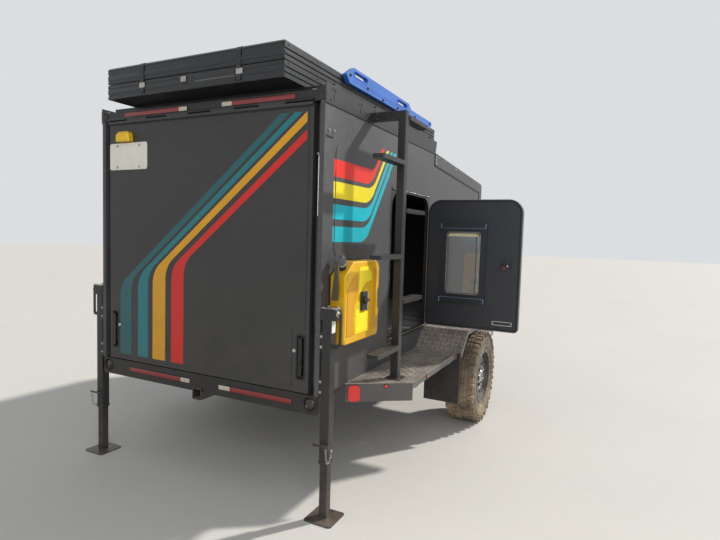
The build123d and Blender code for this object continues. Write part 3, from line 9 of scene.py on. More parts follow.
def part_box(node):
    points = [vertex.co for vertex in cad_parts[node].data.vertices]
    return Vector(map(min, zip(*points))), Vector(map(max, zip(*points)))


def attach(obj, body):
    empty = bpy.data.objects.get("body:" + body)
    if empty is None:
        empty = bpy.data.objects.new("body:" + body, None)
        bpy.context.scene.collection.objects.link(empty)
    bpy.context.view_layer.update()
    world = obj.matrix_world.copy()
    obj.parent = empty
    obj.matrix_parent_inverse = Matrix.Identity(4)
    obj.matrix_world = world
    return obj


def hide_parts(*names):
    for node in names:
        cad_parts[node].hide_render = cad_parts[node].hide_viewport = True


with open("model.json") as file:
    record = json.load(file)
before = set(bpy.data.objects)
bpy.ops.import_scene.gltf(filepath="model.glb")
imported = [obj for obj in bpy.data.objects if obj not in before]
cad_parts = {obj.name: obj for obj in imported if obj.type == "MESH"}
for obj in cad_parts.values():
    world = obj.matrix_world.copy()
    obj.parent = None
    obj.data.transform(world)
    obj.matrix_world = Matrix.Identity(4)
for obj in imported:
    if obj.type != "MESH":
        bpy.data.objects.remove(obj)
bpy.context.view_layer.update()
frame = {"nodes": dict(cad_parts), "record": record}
nodes = frame["nodes"]
scene = bpy.context.scene
scene.view_settings.view_transform = "Standard"

# Planes of the trailer that most pieces are set on, read from the frame
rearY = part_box("rear_bumper")[0].y
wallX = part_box("fuel_can_mount")[0].x
tentLow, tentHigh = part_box("tent_base")
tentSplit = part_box("tent_lid")[0].z


def srgb(red, green, blue):  # screen colour to the linear one that sockets take
    linear = [c / 12.92 if c <= 0.04045 else ((c + 0.055) / 1.055) ** 2.4 for c in (red, green, blue)]
    return (*linear, 1.0)


# Shared shader groups: each gives colours, masks or heights that vary over the surface
def newGroup(kind, name, inputs, outputs):
    group = bpy.data.node_groups.new(name, kind + "NodeTree")
    for label, socketKind, value in inputs:
        socket = group.interface.new_socket(label, in_out="INPUT", socket_type="NodeSocket" + socketKind)
        if value is not None:
            socket.default_value = value
    for label, socketKind in outputs:
        group.interface.new_socket(label, in_out="OUTPUT", socket_type="NodeSocket" + socketKind)
    given = group.nodes.new("NodeGroupInput").outputs
    group.nodes.new("NodeGroupOutput")
    return group, given


def feed(tree, target, source):  # links a socket or sets its value; a node stands for its first output
    if isinstance(source, bpy.types.Node):
        source = source.outputs[0]
    if isinstance(source, bpy.types.NodeSocket):
        tree.links.new(source, target)
    else:
        target.default_value = source


def closeGroup(group, **results):
    for label, source in results.items():
        feed(group, group.nodes["Group Output"].inputs[label], source)
    return group


def addNode(tree, kind, links=None, **settings):
    node = tree.nodes.new(kind)
    for key, value in settings.items():
        setattr(node, key, value)
    for socket, source in (links or {}).items():
        feed(tree, node.inputs[socket], source)
    return node


def mathNode(tree, operation, a, b=0.0, clamp=False):
    return addNode(tree, "ShaderNodeMath", {0: a, 1: b}, operation=operation, use_clamp=clamp).outputs[0]


def mixColor(tree, factor, a, b):
    return addNode(tree, "ShaderNodeMix", {0: factor, 6: a, 7: b}, data_type="RGBA").outputs[2]


def rampNode(tree, source, low, high):
    return addNode(tree, "ShaderNodeMapRange", {0: source, 1: low, 2: high},
        interpolation_type="SMOOTHSTEP")


def blend(tree, a, shareA, b, shareB, clamp=False):  # a weighted sum of two values
    return mathNode(tree, "ADD", mathNode(tree, "MULTIPLY", a, shareA),
        mathNode(tree, "MULTIPLY", b, shareB), clamp)


def buildTone():  # slow and fast colour drift of a large painted or moulded surface
    group, given = newGroup("Shader", "toneDrift", [
        ("Color", "Color", (0.5, 0.5, 0.5, 1)), ("Vector", "Vector", None), ("Scale", "Float", 4.0),
        ("Amount", "Float", 0.2)], [("Color", "Color"), ("Mask", "Float")])
    big = addNode(group, "ShaderNodeTexNoise", {"Vector": given["Vector"], "Scale": given["Scale"],
        "Detail": 5.0, "Roughness": 0.6})
    fine = addNode(group, "ShaderNodeTexNoise", {"Vector": given["Vector"], "Detail": 3.0,
        "Scale": mathNode(group, "MULTIPLY", given["Scale"], 17.0)})
    mask = rampNode(group, blend(group, big, 0.65, fine, 0.35), 0.36, 0.66)
    dark, light = [addNode(group, "ShaderNodeHueSaturation", {
        "Color": given["Color"], "Value": mathNode(group, way, 1.0, given["Amount"])})
        for way in ("SUBTRACT", "ADD")]
    return closeGroup(group, Color=mixColor(group, mask, dark, light), Mask=mask)


def buildPebble():  # sprayed coat: fine rounded grains over a soft orange peel
    group, given = newGroup("Shader", "pebbleCoat", [("Vector", "Vector", None), ("Scale", "Float", 420.0)],
        [("Height", "Float")])
    grain = addNode(group, "ShaderNodeTexVoronoi", {"Vector": given["Vector"], "Scale": given["Scale"]},
        feature="SMOOTH_F1")
    peel = addNode(group, "ShaderNodeTexNoise", {"Vector": given["Vector"], "Detail": 2.0,
        "Scale": mathNode(group, "MULTIPLY", given["Scale"], 0.3)})
    return closeGroup(group, Height=mathNode(group, "SUBTRACT", mathNode(group, "MULTIPLY", peel, 0.6),
        grain))


def buildWear():  # worn outer edges, broken up by noise
    group, given = newGroup("Shader", "edgeWear", [
        ("Vector", "Vector", None), ("Radius", "Float", 0.002), ("Scale", "Float", 60.0),
        ("Amount", "Float", 0.5)], [("Mask", "Float")])
    bevel = addNode(group, "ShaderNodeBevel", {"Radius": given["Radius"]}, samples=4)
    flat = addNode(group, "ShaderNodeNewGeometry")
    dot = addNode(group, "ShaderNodeVectorMath", {0: bevel, 1: flat.outputs["Normal"]},
        operation="DOT_PRODUCT")
    edge = rampNode(group, dot.outputs["Value"], 0.985, 0.84)
    noise = addNode(group, "ShaderNodeTexNoise", {"Vector": given["Vector"], "Detail": 6.0,
        "Scale": given["Scale"], "Roughness": 0.7})
    broken = mathNode(group, "MULTIPLY", edge, rampNode(group, noise, 0.38, 0.62))
    return closeGroup(group, Mask=mathNode(group, "MULTIPLY", broken, given["Amount"], clamp=True))


def buildDust():  # road dust that settles on level faces and thickens towards the ground
    group, given = newGroup("Shader", "roadDust", [("Color", "Color", (0.1, 0.1, 0.1, 1)),
        ("Vector", "Vector", None), ("Dust", "Color", srgb(*dustColour)), ("Level", "Float", 0.3),
        ("Low", "Float", 0.3), ("Top", "Float", 1.2)], [("Color", "Color"), ("Mask", "Float")])
    place = addNode(group, "ShaderNodeSeparateXYZ", {0: given["Vector"]})
    facing = addNode(group, "ShaderNodeTexCoord")
    up = addNode(group, "ShaderNodeSeparateXYZ", {0: facing.outputs["Normal"]})
    level = mathNode(group, "MULTIPLY", rampNode(group, up.outputs[2], 0.5, 0.98), given["Level"])
    lowMap = addNode(group, "ShaderNodeMapRange", {0: place.outputs[2], 1: given["Top"], 2: 0.0, 3: 0.0,
        4: 1.0})
    low = mathNode(group, "MULTIPLY", lowMap, given["Low"])
    noise = addNode(group, "ShaderNodeTexNoise", {"Vector": given["Vector"], "Scale": 7.0, "Detail": 8.0,
        "Roughness": 0.65})
    cloud = mathNode(group, "ADD", mathNode(group, "MULTIPLY", rampNode(group, noise, 0.3, 0.7), 0.8), 0.3)
    mask = mathNode(group, "MULTIPLY", mathNode(group, "ADD", level, low), cloud, clamp=True)
    return closeGroup(group, Color=mixColor(group, mask, given["Color"], given["Dust"]), Mask=mask)


def buildWeave():  # plain weave of crossing threads, along the two axes of its vector
    group, given = newGroup("Shader", "plainWeave", [("Vector", "Vector", None), ("Scale", "Float", 300.0)],
        [("Height", "Float"), ("Thread", "Float")])
    across, along = [addNode(group, "ShaderNodeTexWave", {
        "Vector": given["Vector"], "Distortion": 0.6, "Scale": given["Scale"], "Detail": 1.0},
        wave_type="BANDS", bands_direction=axis).outputs["Fac"] for axis in ("X", "Y")]
    thread = rampNode(group, mathNode(group, "MULTIPLY", across, along), 0.0, 0.8)
    return closeGroup(group, Height=mathNode(group, "MAXIMUM", across, along), Thread=thread)


dustColour = (0.56, 0.50, 0.44)
groups = {"tone": buildTone(), "pebble": buildPebble(), "wear": buildWear(), "dust": buildDust(),
    "weave": buildWeave()}


def useGroup(tree, name, place, **values):
    return addNode(tree, "ShaderNodeGroup", {"Vector": place, **values}, node_tree=groups[name])


def newMaterial(name):
    material = bpy.data.materials.new(name)
    material.use_nodes = True
    tree = material.node_tree
    place = addNode(tree, "ShaderNodeTexCoord").outputs["Object"]
    return material, tree, tree.nodes["Principled BSDF"], place


# What each finish ends with: its colour, a mask that spreads its roughness, a bump and its plain values
def shadeWith(tree, shader, colour, mask, rough, height, strength, distance, **plain):
    feed(tree, shader.inputs["Base Color"], colour)
    spread = addNode(tree, "ShaderNodeMapRange", {0: mask, 1: 0.0, 2: 1.0, 3: rough[0], 4: rough[1]})
    feed(tree, shader.inputs["Roughness"], spread)
    bump = addNode(tree, "ShaderNodeBump", {"Height": height, "Strength": strength, "Distance": distance})
    feed(tree, shader.inputs["Normal"], bump)
    for label, value in plain.items():
        shader.inputs[label.replace("_", " ")].default_value = value


def hardFinish(name, colour, rough, metallic=0.0, grain=420.0, bump=0.2, drift=0.12, driftScale=4.0,
        bare=None, worn=0.3, wornRadius=0.0015, level=0.2, low=0.1, top=1.0, dust=dustColour):
    material, tree, shader, place = newMaterial(name)
    tone = useGroup(tree, "tone", place, Color=srgb(*colour), Scale=driftScale, Amount=drift)
    colourNow = tone
    if worn > 0:
        wear = useGroup(tree, "wear", place, Radius=wornRadius, Amount=worn)
        colourNow = mixColor(tree, wear, tone, srgb(*bare) if bare else (0.45, 0.45, 0.46, 1))
    dusty = useGroup(tree, "dust", place, Color=colourNow, Dust=srgb(*dust), Level=level, Low=low, Top=top)
    mask = blend(tree, tone.outputs["Mask"], 0.6, dusty.outputs["Mask"], 0.9, clamp=True)
    pebble = useGroup(tree, "pebble", place, Scale=grain)
    shadeWith(tree, shader, dusty, mask, rough, pebble, bump, 0.0006, Metallic=metallic)
    return material


# Slot: material, screen colour, roughness from clean to dusty, what differs from hardFinish's own values
hardFinishes = {
    "coated_body": ("bodyCoat", (0.275, 0.275, 0.285), (0.46, 0.66),
        dict(grain=330, bump=0.55, drift=0.16, driftScale=2.2, worn=0.25, level=0.17, low=0.16, top=1.3)),
    # The hatch coat is a darker copy of the body coat: painted shade of the shaded rear face
    "hatch_coat": ("hatchCoat", (0.185, 0.187, 0.187), (0.46, 0.64),
        dict(grain=330, bump=0.55, drift=0.16, driftScale=2.2, worn=0.25, low=0.14, top=1.3)),
    "door_skin": ("doorSkin", (0.155, 0.17, 0.20), (0.38, 0.52),
        dict(grain=600, bump=0.15, drift=0.1, driftScale=3, worn=0.35, low=0.08, top=1.4)),
    "coated_black": ("blackCoat", (0.12, 0.12, 0.125), (0.34, 0.55),
        dict(grain=520, bump=0.3, worn=0.55, level=0.24, top=0.95)),
    "frame_black": ("frameBlack", (0.10, 0.10, 0.105), (0.38, 0.62),
        dict(bump=0.25, worn=0.45, level=0.4, low=0.5, top=0.7)),
    "chrome_trim": ("latchBlack", (0.07, 0.07, 0.075), (0.25, 0.4),
        dict(grain=900, bump=0.1, worn=0.5, level=0.1, low=0.05)),
    "bright_steel": ("brightSteel", (0.74, 0.74, 0.73), (0.2, 0.42),
        dict(metallic=1.0, grain=900, bump=0.1, driftScale=20, worn=0, low=0.15)),
    "zinc_steel": ("legSteel", (0.15, 0.145, 0.15), (0.32, 0.55),
        dict(metallic=0.2, grain=300, bump=0.25, drift=0.25, driftScale=30, worn=0.8, wornRadius=0.002,
        level=0.3, low=0.25, top=0.5)),
    "frame_plastic": ("blindPlastic", (0.13, 0.15, 0.19), (0.32, 0.45),
        dict(grain=900, bump=0.1, worn=0.2, bare=(0.4, 0.42, 0.45), level=0.15, low=0)),
    "rim_paint": ("rimPaint", (0.16, 0.17, 0.195), (0.28, 0.6),
        dict(grain=700, bump=0.12, worn=0.5, wornRadius=0.003, level=0.3, low=0.35, top=0.75)),
    "diamond_plate": ("treadPlate", (0.30, 0.295, 0.29), (0.34, 0.6),
        dict(grain=480, bump=0.3, worn=0.9, bare=(0.72, 0.70, 0.67), level=0.55, low=0.15, top=0.9,
        dust=(0.69, 0.645, 0.59))),
    "tread_bright": ("treadBright", (0.60, 0.575, 0.54), (0.3, 0.5),
        dict(metallic=0.45, grain=480, drift=0.2, driftScale=14, worn=0, low=0.05,
        dust=(0.62, 0.57, 0.51))),
    "flap_rubber": ("flapRubber", (0.085, 0.085, 0.085), (0.6, 0.85),
        dict(grain=260, bump=0.3, drift=0.25, worn=0, low=0.18, top=0.75)),
    "can_yellow": ("canYellow", (0.88, 0.68, 0.02), (0.3, 0.46),
        dict(grain=380, bump=0.35, drift=0.06, driftScale=6, bare=(0.97, 0.92, 0.55), worn=0.4, level=0.1,
        low=0.06, top=1.2)),
    # Lighter and darker copies of the can's yellow for its raised panels: painted highlight and painted
    # shade
    "can_amber": ("canAmber", (0.83, 0.60, 0.03), (0.3, 0.46),
        dict(grain=380, bump=0.35, drift=0.06, bare=(0.95, 0.85, 0.45), worn=0.4, level=0.1, low=0.06,
        top=1.2)),
    "can_bright": ("canBright", (0.98, 0.90, 0.06), (0.3, 0.44),
        dict(grain=380, bump=0.35, drift=0.05, bare=(1.0, 0.96, 0.6), worn=0.4, level=0.1, low=0.04,
        top=1.2)),
    "cap_grey": ("capGrey", (0.36, 0.36, 0.37), (0.35, 0.5),
        dict(grain=500, worn=0.4, bare=(0.62, 0.62, 0.62), low=0)),
    "tent_shell": ("tentShell", (0.125, 0.135, 0.15), (0.3, 0.44),
        dict(grain=700, bump=0.18, worn=0.35, wornRadius=0.002, bare=(0.50, 0.50, 0.50), level=0.13,
        low=0)),
    "board_blue": ("boardBlue", (0.20, 0.43, 0.78), (0.32, 0.5),
        dict(grain=500, bump=0.25, drift=0.1, bare=(0.45, 0.62, 0.85), worn=0.45, low=0)),
    "lamp_yellow": ("lampYellow", (0.90, 0.72, 0.06), (0.3, 0.45),
        dict(grain=700, bump=0.1, bare=(0.95, 0.85, 0.45), level=0.1, low=0)),
    "tyre_rubber": ("tyreRubber", (0.13, 0.125, 0.12), (0.6, 0.9),
        dict(grain=220, bump=0.5, drift=0.3, driftScale=9, bare=(0.42, 0.37, 0.33), worn=0.7,
        wornRadius=0.004, level=0.5, low=0.9, top=1.1, dust=(0.68, 0.60, 0.50))),
    "plate_pale": ("platePale", (0.86, 0.85, 0.81), (0.3, 0.45),
        dict(grain=900, bump=0.08, drift=0.06, worn=0, level=0.1, low=0.05, top=2.5)),
    "sticker_white": ("stickerWhite", (0.90, 0.90, 0.88), (0.4, 0.6),
        dict(grain=900, bump=0.05, drift=0.06, worn=0)),
    "rubber_seal": ("rubberSeal", (0.055, 0.055, 0.06), (0.5, 0.7),
        dict(grain=500, worn=0, low=0.05)),
    "edge_bright": ("edgeBright", (0.70, 0.69, 0.66), (0.3, 0.5),
        dict(metallic=0.8, grain=900, bump=0.1, drift=0.2, driftScale=25, worn=0, level=0.1)),
    # Pale bluish colour of the window rails and their ends: painted reflection of the sky
    "blind_pale": ("blindPale", (0.40, 0.48, 0.57), (0.3, 0.42),
        dict(grain=800, bump=0.1, worn=0.2, level=0.1, low=0))}


def glassFinish(name, tint, rough):
    material, tree, shader, place = newMaterial(name)
    smear = addNode(tree, "ShaderNodeTexNoise", {"Vector": place, "Scale": 9.0, "Detail": 6.0,
        "Roughness": 0.7})
    shadeWith(tree, shader, srgb(*tint), rampNode(tree, smear, 0.45, 0.75), (rough, rough + 0.08), smear,
        0.03, 0.002, Transmission_Weight=1.0, IOR=1.49)
    return material


def lensFinish(name, colour, cell, rough=(0.12, 0.3), glow=0.0):  # moulded lens or prism tape
    material, tree, shader, place = newMaterial(name)
    cells = addNode(tree, "ShaderNodeTexVoronoi", {"Vector": place, "Scale": cell, "Randomness": 0.15})
    tone = useGroup(tree, "tone", place, Color=srgb(*colour), Scale=30.0, Amount=0.12)
    shade = mixColor(tree, mathNode(tree, "MULTIPLY", cells, 0.5), tone, (0, 0, 0, 1))
    dusty = useGroup(tree, "dust", place, Color=shade, Level=0.08, Low=0.05)
    if glow > 0:
        feed(tree, shader.inputs["Emission Color"], tone)
        shader.inputs["Emission Strength"].default_value = glow
    shadeWith(tree, shader, dusty, tone.outputs["Mask"], rough, cells, 0.35, 0.0008, Coat_Weight=0.6,
        Coat_Roughness=0.08)
    return material


def filmFinish(name, colour):  # vinyl stripe film, a little dusty and scuffed
    material, tree, shader, place = newMaterial(name)
    tone = useGroup(tree, "tone", place, Color=srgb(*colour), Scale=5.0, Amount=0.06)
    dusty = useGroup(tree, "dust", place, Color=tone, Level=0.1, Low=0.12, Top=1.3)
    pebble = useGroup(tree, "pebble", place, Scale=360.0)
    shadeWith(tree, shader, dusty, tone.outputs["Mask"], (0.36, 0.5), pebble, 0.3, 0.0004)
    return material


def clothFinish(name, colour, other, threads):
    material, tree, shader, place = newMaterial(name)
    weave = useGroup(tree, "weave", place, Scale=threads)
    tone = useGroup(tree, "tone", place, Color=srgb(*colour), Scale=6.0, Amount=0.14)
    shade = mixColor(tree, mathNode(tree, "MULTIPLY", weave.outputs["Thread"], 0.6), tone, srgb(*other))
    dusty = useGroup(tree, "dust", place, Color=shade, Level=0.1, Low=0.0)
    shadeWith(tree, shader, dusty, tone.outputs["Mask"], (0.78, 0.95), weave, 0.5, 0.0006, Sheen_Weight=0.3)
    return material


def woodFinish(name, colour, dark, stretch):
    material, tree, shader, place = newMaterial(name)
    longWay = addNode(tree, "ShaderNodeMapping", {"Vector": place, "Scale": stretch})
    grain = addNode(tree, "ShaderNodeTexNoise", {"Vector": longWay, "Scale": 16.0, "Detail": 8.0,
        "Roughness": 0.65, "Distortion": 1.2})
    rings = addNode(tree, "ShaderNodeTexWave", {"Vector": longWay, "Scale": 3.0, "Distortion": 9.0,
        "Detail": 3.0})
    mask = blend(tree, grain, 0.6, rings.outputs["Fac"], 0.4)
    shade = mixColor(tree, rampNode(tree, mask, 0.3, 0.75), srgb(*dark), srgb(*colour))
    shadeWith(tree, shader, shade, mask, (0.4, 0.6), grain, 0.15, 0.0005)
    return material


# Slot: what its builder takes, with screen colours
lensFinishes = {
    # The bumper lamps' lens is a darker copy of the red lens: painted shade of the shaded rear
    "lamp_red_shaded": ("unlitLens", (0.17, 0.04, 0.05), 300.0),
    "lamp_red": ("redLens", (0.84, 0.04, 0.04), 300.0, (0.12, 0.3), 0.3),
    # The red tape is darkened as painted shade of the shaded rear, where its bars sit
    "tape_red": ("redTape", (0.56, 0.12, 0.13), 240.0, (0.3, 0.45)),
    "tape_white": ("whiteTape", (0.80, 0.77, 0.70), 240.0, (0.25, 0.4)),
    "mark_red": ("markerRed", (0.82, 0.05, 0.10), 420.0, (0.12, 0.3), 0.25),
    "lamp_white": ("whiteLens", (0.88, 0.88, 0.84), 420.0)}
clothFinishes = {
    "mattress_cloth": ("mattressCloth", (0.24, 0.25, 0.27), (0.14, 0.15, 0.17), 160.0),
    "tent_cloth": ("tentCanvas", (0.42, 0.43, 0.38), (0.30, 0.31, 0.27), 220.0),
    "strap_web": ("strapWebbing", (0.13, 0.14, 0.17), (0.07, 0.08, 0.10), 420.0),
    "tether_web": ("tetherWebbing", (0.30, 0.27, 0.13), (0.18, 0.16, 0.08), 420.0),
    "cream_blind": ("creamBlind", (0.86, 0.82, 0.70), (0.74, 0.70, 0.58), 260.0)}
woodFinishes = {
    "floor_wood": ("floorBoard", (0.34, 0.30, 0.27), (0.20, 0.17, 0.15), (1.0, 0.06, 1.0)),
    "galley_wood": ("birchPly", (0.76, 0.64, 0.47), (0.60, 0.46, 0.30), (1.0, 1.0, 0.08)),
    "galley_edge": ("plyEdge", (0.66, 0.53, 0.36), (0.44, 0.32, 0.20), (0.05, 1.0, 30.0))}
filmColours = {
    "film_deep_teal": (0.10, 0.34, 0.36), "film_teal": (0.06, 0.44, 0.47), "film_amber": (0.82, 0.59, 0.06),
    "film_red": (0.78, 0.12, 0.08), "film_red_side": (0.88, 0.14, 0.05), "film_yellow": (0.93, 0.85, 0.0),
    "film_cyan": (0.0, 0.70, 0.77), "film_cyan_low": (0.0, 0.68, 0.74)}
finishes = {slot: hardFinish(*basics, **values) for slot, (*basics, values) in hardFinishes.items()}
for build, table in ((lensFinish, lensFinishes), (clothFinish, clothFinishes), (woodFinish, woodFinishes)):
    finishes.update({slot: build(*values) for slot, values in table.items()})
finishes.update({slot: filmFinish(slot, colour) for slot, colour in filmColours.items()})
finishes["tinted_glass"] = glassFinish("tintedGlass", (0.86, 0.87, 0.88), 0.01)
print("finishes done")

nodeSlots = {part["node"]: part["material_slot"] for part in frame["record"]["subparts"]}
# The hatch panel and the bumper lamps take darker copies of their slots' finishes: painted shade of the
# shaded rear
ownFinish = {"hatch_panel": "hatch_coat", "bumper_lamps": "lamp_red_shaded"}
for nodeName, obj in nodes.items():
    for slotNow in obj.material_slots:
        slotNow.link = "OBJECT"
        slotNow.material = finishes[ownFinish.get(nodeName, nodeSlots[nodeName])]
print("frame nodes dressed")


# Mesh helpers: each adds to an open bmesh, and setPiece makes the object
scratch = bpy.data.meshes.new("scratch")


def newMeshes(count):
    return [bmesh.new() for _ in range(count)]


def newObject(name, data):
    obj = bpy.data.objects.new(name, data)
    scene.collection.objects.link(obj)
    return obj


def evaluatedMesh(obj):  # its mesh with the modifiers applied
    bpy.context.view_layer.update()
    return bpy.data.meshes.new_from_object(obj.evaluated_get(bpy.context.evaluated_depsgraph_get()))


def pour(made, bm, matrix=None):
    if matrix is not None:
        made.transform(matrix)
    made.to_mesh(scratch)
    made.free()
    bm.from_mesh(scratch)


def onPlane(origin, xDir, zDir):  # local x and z in the world, y follows
    z = Vector(zDir).normalized()
    x = (Vector(xDir) - Vector(xDir).dot(z) * z).normalized()
    y = z.cross(x)
    turned = Matrix((x, y, z)).transposed().to_4x4()
    turned.translation = Vector(origin)
    return turned


def rearFace(x, y, z):  # a plane on the back of the trailer: local x is +X, y is +Z, normal -Y
    return onPlane((x, y, z), (1, 0, 0), (0, -1, 0))


def sideFace(side, x, y, z):  # a plane on a side wall: local x is +Y on the right side, y is +Z
    return onPlane((side * x, y, z), (0, side, 0), (side, 0, 0))


def addBox(bm, low, high, bevel=0.0, matrix=None):
    made = bmesh.new()
    size = Vector(high) - Vector(low)
    middle = (Vector(high) + Vector(low)) / 2
    bmesh.ops.create_cube(made, size=1.0, matrix=Matrix.Translation(middle) @ Matrix.Diagonal((*size, 1)))
    if bevel > 0:
        bmesh.ops.bevel(made, geom=list(made.edges), offset=bevel, segments=2, profile=0.6, affect="EDGES")
    pour(made, bm, matrix)


def roundRect(width, height, radius, steps=6):
    points = []
    for cx, cy, start in ((1, 1, 0), (-1, 1, 90), (-1, -1, 180), (1, -1, 270)):
        for step in range(steps + 1):
            angle = math.radians(start + 90 * step / steps)
            points.append((cx * (width / 2 - radius) + radius * math.cos(angle),
                cy * (height / 2 - radius) + radius * math.sin(angle)))
    return points


def addPrism(bm, outline, low, high, matrix=None, bevel=0.0, holes=()):
    made = bmesh.new()
    edges = []
    for points in (outline, *holes):
        verts = [made.verts.new((x, y, low)) for x, y in points]
        edges += [made.edges.new((verts[i], verts[(i + 1) % len(verts)])) for i in range(len(verts))]
    filled = bmesh.ops.triangle_fill(made, edges=edges, use_beauty=True)
    faces = [item for item in filled["geom"] if isinstance(item, bmesh.types.BMFace)]
    raised = bmesh.ops.extrude_face_region(made, geom=faces)
    tops = [item for item in raised["geom"] if isinstance(item, bmesh.types.BMVert)]
    bmesh.ops.translate(made, verts=tops, vec=(0, 0, high - low))
    bmesh.ops.recalc_face_normals(made, faces=list(made.faces))
    if bevel > 0:
        top = max(low, high)
        rim = [e for e in made.edges if all(abs(v.co.z - top) < 1e-7 for v in e.verts)
            and len({round(f.normal.z, 1) for f in e.link_faces}) == 2]
        bmesh.ops.bevel(made, geom=rim, offset=bevel, segments=2, profile=0.6, affect="EDGES")
    pour(made, bm, matrix)


def addLathe(bm, profile, matrix=None, steps=32):  # profile of (height, radius) about local z
    made = bmesh.new()
    rings = []
    for height, radius in profile:
        if radius < 1e-6:
            rings.append([made.verts.new((0, 0, height))])
        else:
            rings.append([made.verts.new((radius * math.cos(2 * math.pi * i / steps),
                radius * math.sin(2 * math.pi * i / steps), height)) for i in range(steps)])
    for lower, upper in zip(rings, rings[1:]):
        for i in range(steps):
            j = (i + 1) % steps
            around = [lower[i % len(lower)], lower[j % len(lower)], upper[j % len(upper)],
                upper[i % len(upper)]]
            corners = list(dict.fromkeys(around))
            if len(corners) > 2:
                made.faces.new(corners)
    bmesh.ops.recalc_face_normals(made, faces=list(made.faces))
    pour(made, bm, matrix)


def smoothPath(points, steps=8, closed=False):  # a curve through every point
    found = []
    count = len(points)
    spans = count if closed else count - 1
    for i in range(spans):
        picked = [(i + k) % count if closed else min(max(i + k, 0), count - 1) for k in (-1, 0, 1, 2)]
        a, b, c, d = (Vector(points[index]) for index in picked)
        for step in range(steps):
            t = step / steps
            found.append(0.5 * (2 * b + (c - a) * t + (2 * a - 5 * b + 4 * c - d) * t * t
                + (3 * b - a - 3 * c + d) * t * t * t))
    if not closed:
        found.append(Vector(points[-1]))
    return found


def closeRings(bm, rings, closed=False):  # faces between rings of points, and caps where the ends are open
    count, wide = len(rings), len(rings[0])
    for i in range(count if closed else count - 1):
        lower, upper = rings[i], rings[(i + 1) % count]
        for k in range(wide):
            bm.faces.new((lower[k], lower[(k + 1) % wide], upper[(k + 1) % wide], upper[k]))
    if not closed:
        bm.faces.new(rings[0][::-1])
        bm.faces.new(rings[-1])
    bmesh.ops.recalc_face_normals(bm, faces=list(bm.faces))


def addSweep(bm, points, section, closed=False, up=(0, 0, 1)):  # a flat outline carried along a path
    made = bmesh.new()
    path = [Vector(point) for point in points]
    count = len(path)
    rings = []
    normal = Vector(up)
    for i in range(count):
        before = path[(i - 1) % count] if closed or i > 0 else path[i]
        after = path[(i + 1) % count] if closed or i < count - 1 else path[i]
        way = (after - before).normalized()
        normal = (normal - normal.dot(way) * way)
        normal = normal.normalized() if normal.length > 1e-6 else way.orthogonal().normalized()
        side = way.cross(normal)
        rings.append([made.verts.new(path[i] + side * x + normal * y) for x, y in section])
    closeRings(made, rings, closed)
    pour(made, bm)


def roundSection(radius, sides=10):
    return [(radius * math.cos(2 * math.pi * i / sides), radius * math.sin(2 * math.pi * i / sides)) for i
        in range(sides)]


def closeMesh(name, bm, merge, angle):  # a mesh that is smooth up to an angle in degrees
    bmesh.ops.remove_doubles(bm, verts=list(bm.verts), dist=merge)
    for face in bm.faces:
        face.smooth = True
    for edge in bm.edges:
        edge.smooth = len(edge.link_faces) == 2 and edge.calc_face_angle(0) < math.radians(angle)
    mesh = bpy.data.meshes.new(name)
    bm.to_mesh(mesh)
    bm.free()
    return mesh


def setPiece(name, source, finish, body="trailer", smooth=38):
    if isinstance(source, bpy.types.Mesh):
        mesh = source
        mesh.name = name
    else:
        mesh = closeMesh(name, source, 1e-6, smooth)
    obj = newObject(name, mesh)
    mesh.materials.clear()
    mesh.materials.append(finishes[finish])
    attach(obj, body)
    return obj


# Geometry Nodes: what repeats comes from these trees, one plain mesh each
def newTree(name, inputs):
    inputs = [("Piece", "Object", None), *inputs, ("Material", "Material", None)]
    return newGroup("Geometry", name, inputs, [("Geometry", "Geometry")])


def closeTree(tree, given, points, rotation):  # real copies of the piece on the points, in one material
    piece = addNode(tree, "GeometryNodeObjectInfo", {0: given["Piece"]})
    copies = addNode(tree, "GeometryNodeInstanceOnPoints", {
        "Points": points, "Instance": piece.outputs["Geometry"], "Rotation": rotation})
    real = addNode(tree, "GeometryNodeRealizeInstances", {0: copies})
    return closeGroup(tree, Geometry=addNode(tree, "GeometryNodeSetMaterial",
        {0: real, 2: given["Material"]}))


def buildRowTree():  # copies of a piece along a straight line
    tree, given = newTree("pieceRow", [("Start", "Vector", (0, 0, 0)), ("End", "Vector", (1, 0, 0)),
        ("Count", "Int", 5), ("Turn", "Vector", (0, 0, 0))])
    line = addNode(tree, "GeometryNodeMeshLine", {"Count": given["Count"], "Start Location": given["Start"],
        "Offset": given["End"]}, mode="END_POINTS")
    return closeTree(tree, given, line, addNode(tree, "FunctionNodeEulerToRotation", {0: given["Turn"]}))


def buildRingTree():  # copies of a piece around the x axis of a centre
    tree, given = newTree("pieceRing", [("Centre", "Vector", (0, 0, 0)), ("Radius", "Float", 0.1),
        ("Count", "Int", 8), ("Phase", "Float", 0.0)])
    line = addNode(tree, "GeometryNodeMeshLine", {"Count": given["Count"], "Offset": (0, 0, 0)})
    share = mathNode(tree, "DIVIDE", addNode(tree, "GeometryNodeInputIndex"), given["Count"])
    angle = mathNode(tree, "MULTIPLY", mathNode(tree, "ADD", share, given["Phase"]), 2 * math.pi)
    rotation = addNode(tree, "FunctionNodeEulerToRotation",
        {0: addNode(tree, "ShaderNodeCombineXYZ", {0: angle})})
    arm = addNode(tree, "ShaderNodeCombineXYZ", {2: given["Radius"]})
    spot = addNode(tree, "FunctionNodeRotateVector", {0: arm, 1: rotation})
    placed = addNode(tree, "GeometryNodeSetPosition", {
        "Geometry": line, "Position": spot, "Offset": given["Centre"]})
    return closeTree(tree, given, placed, rotation)


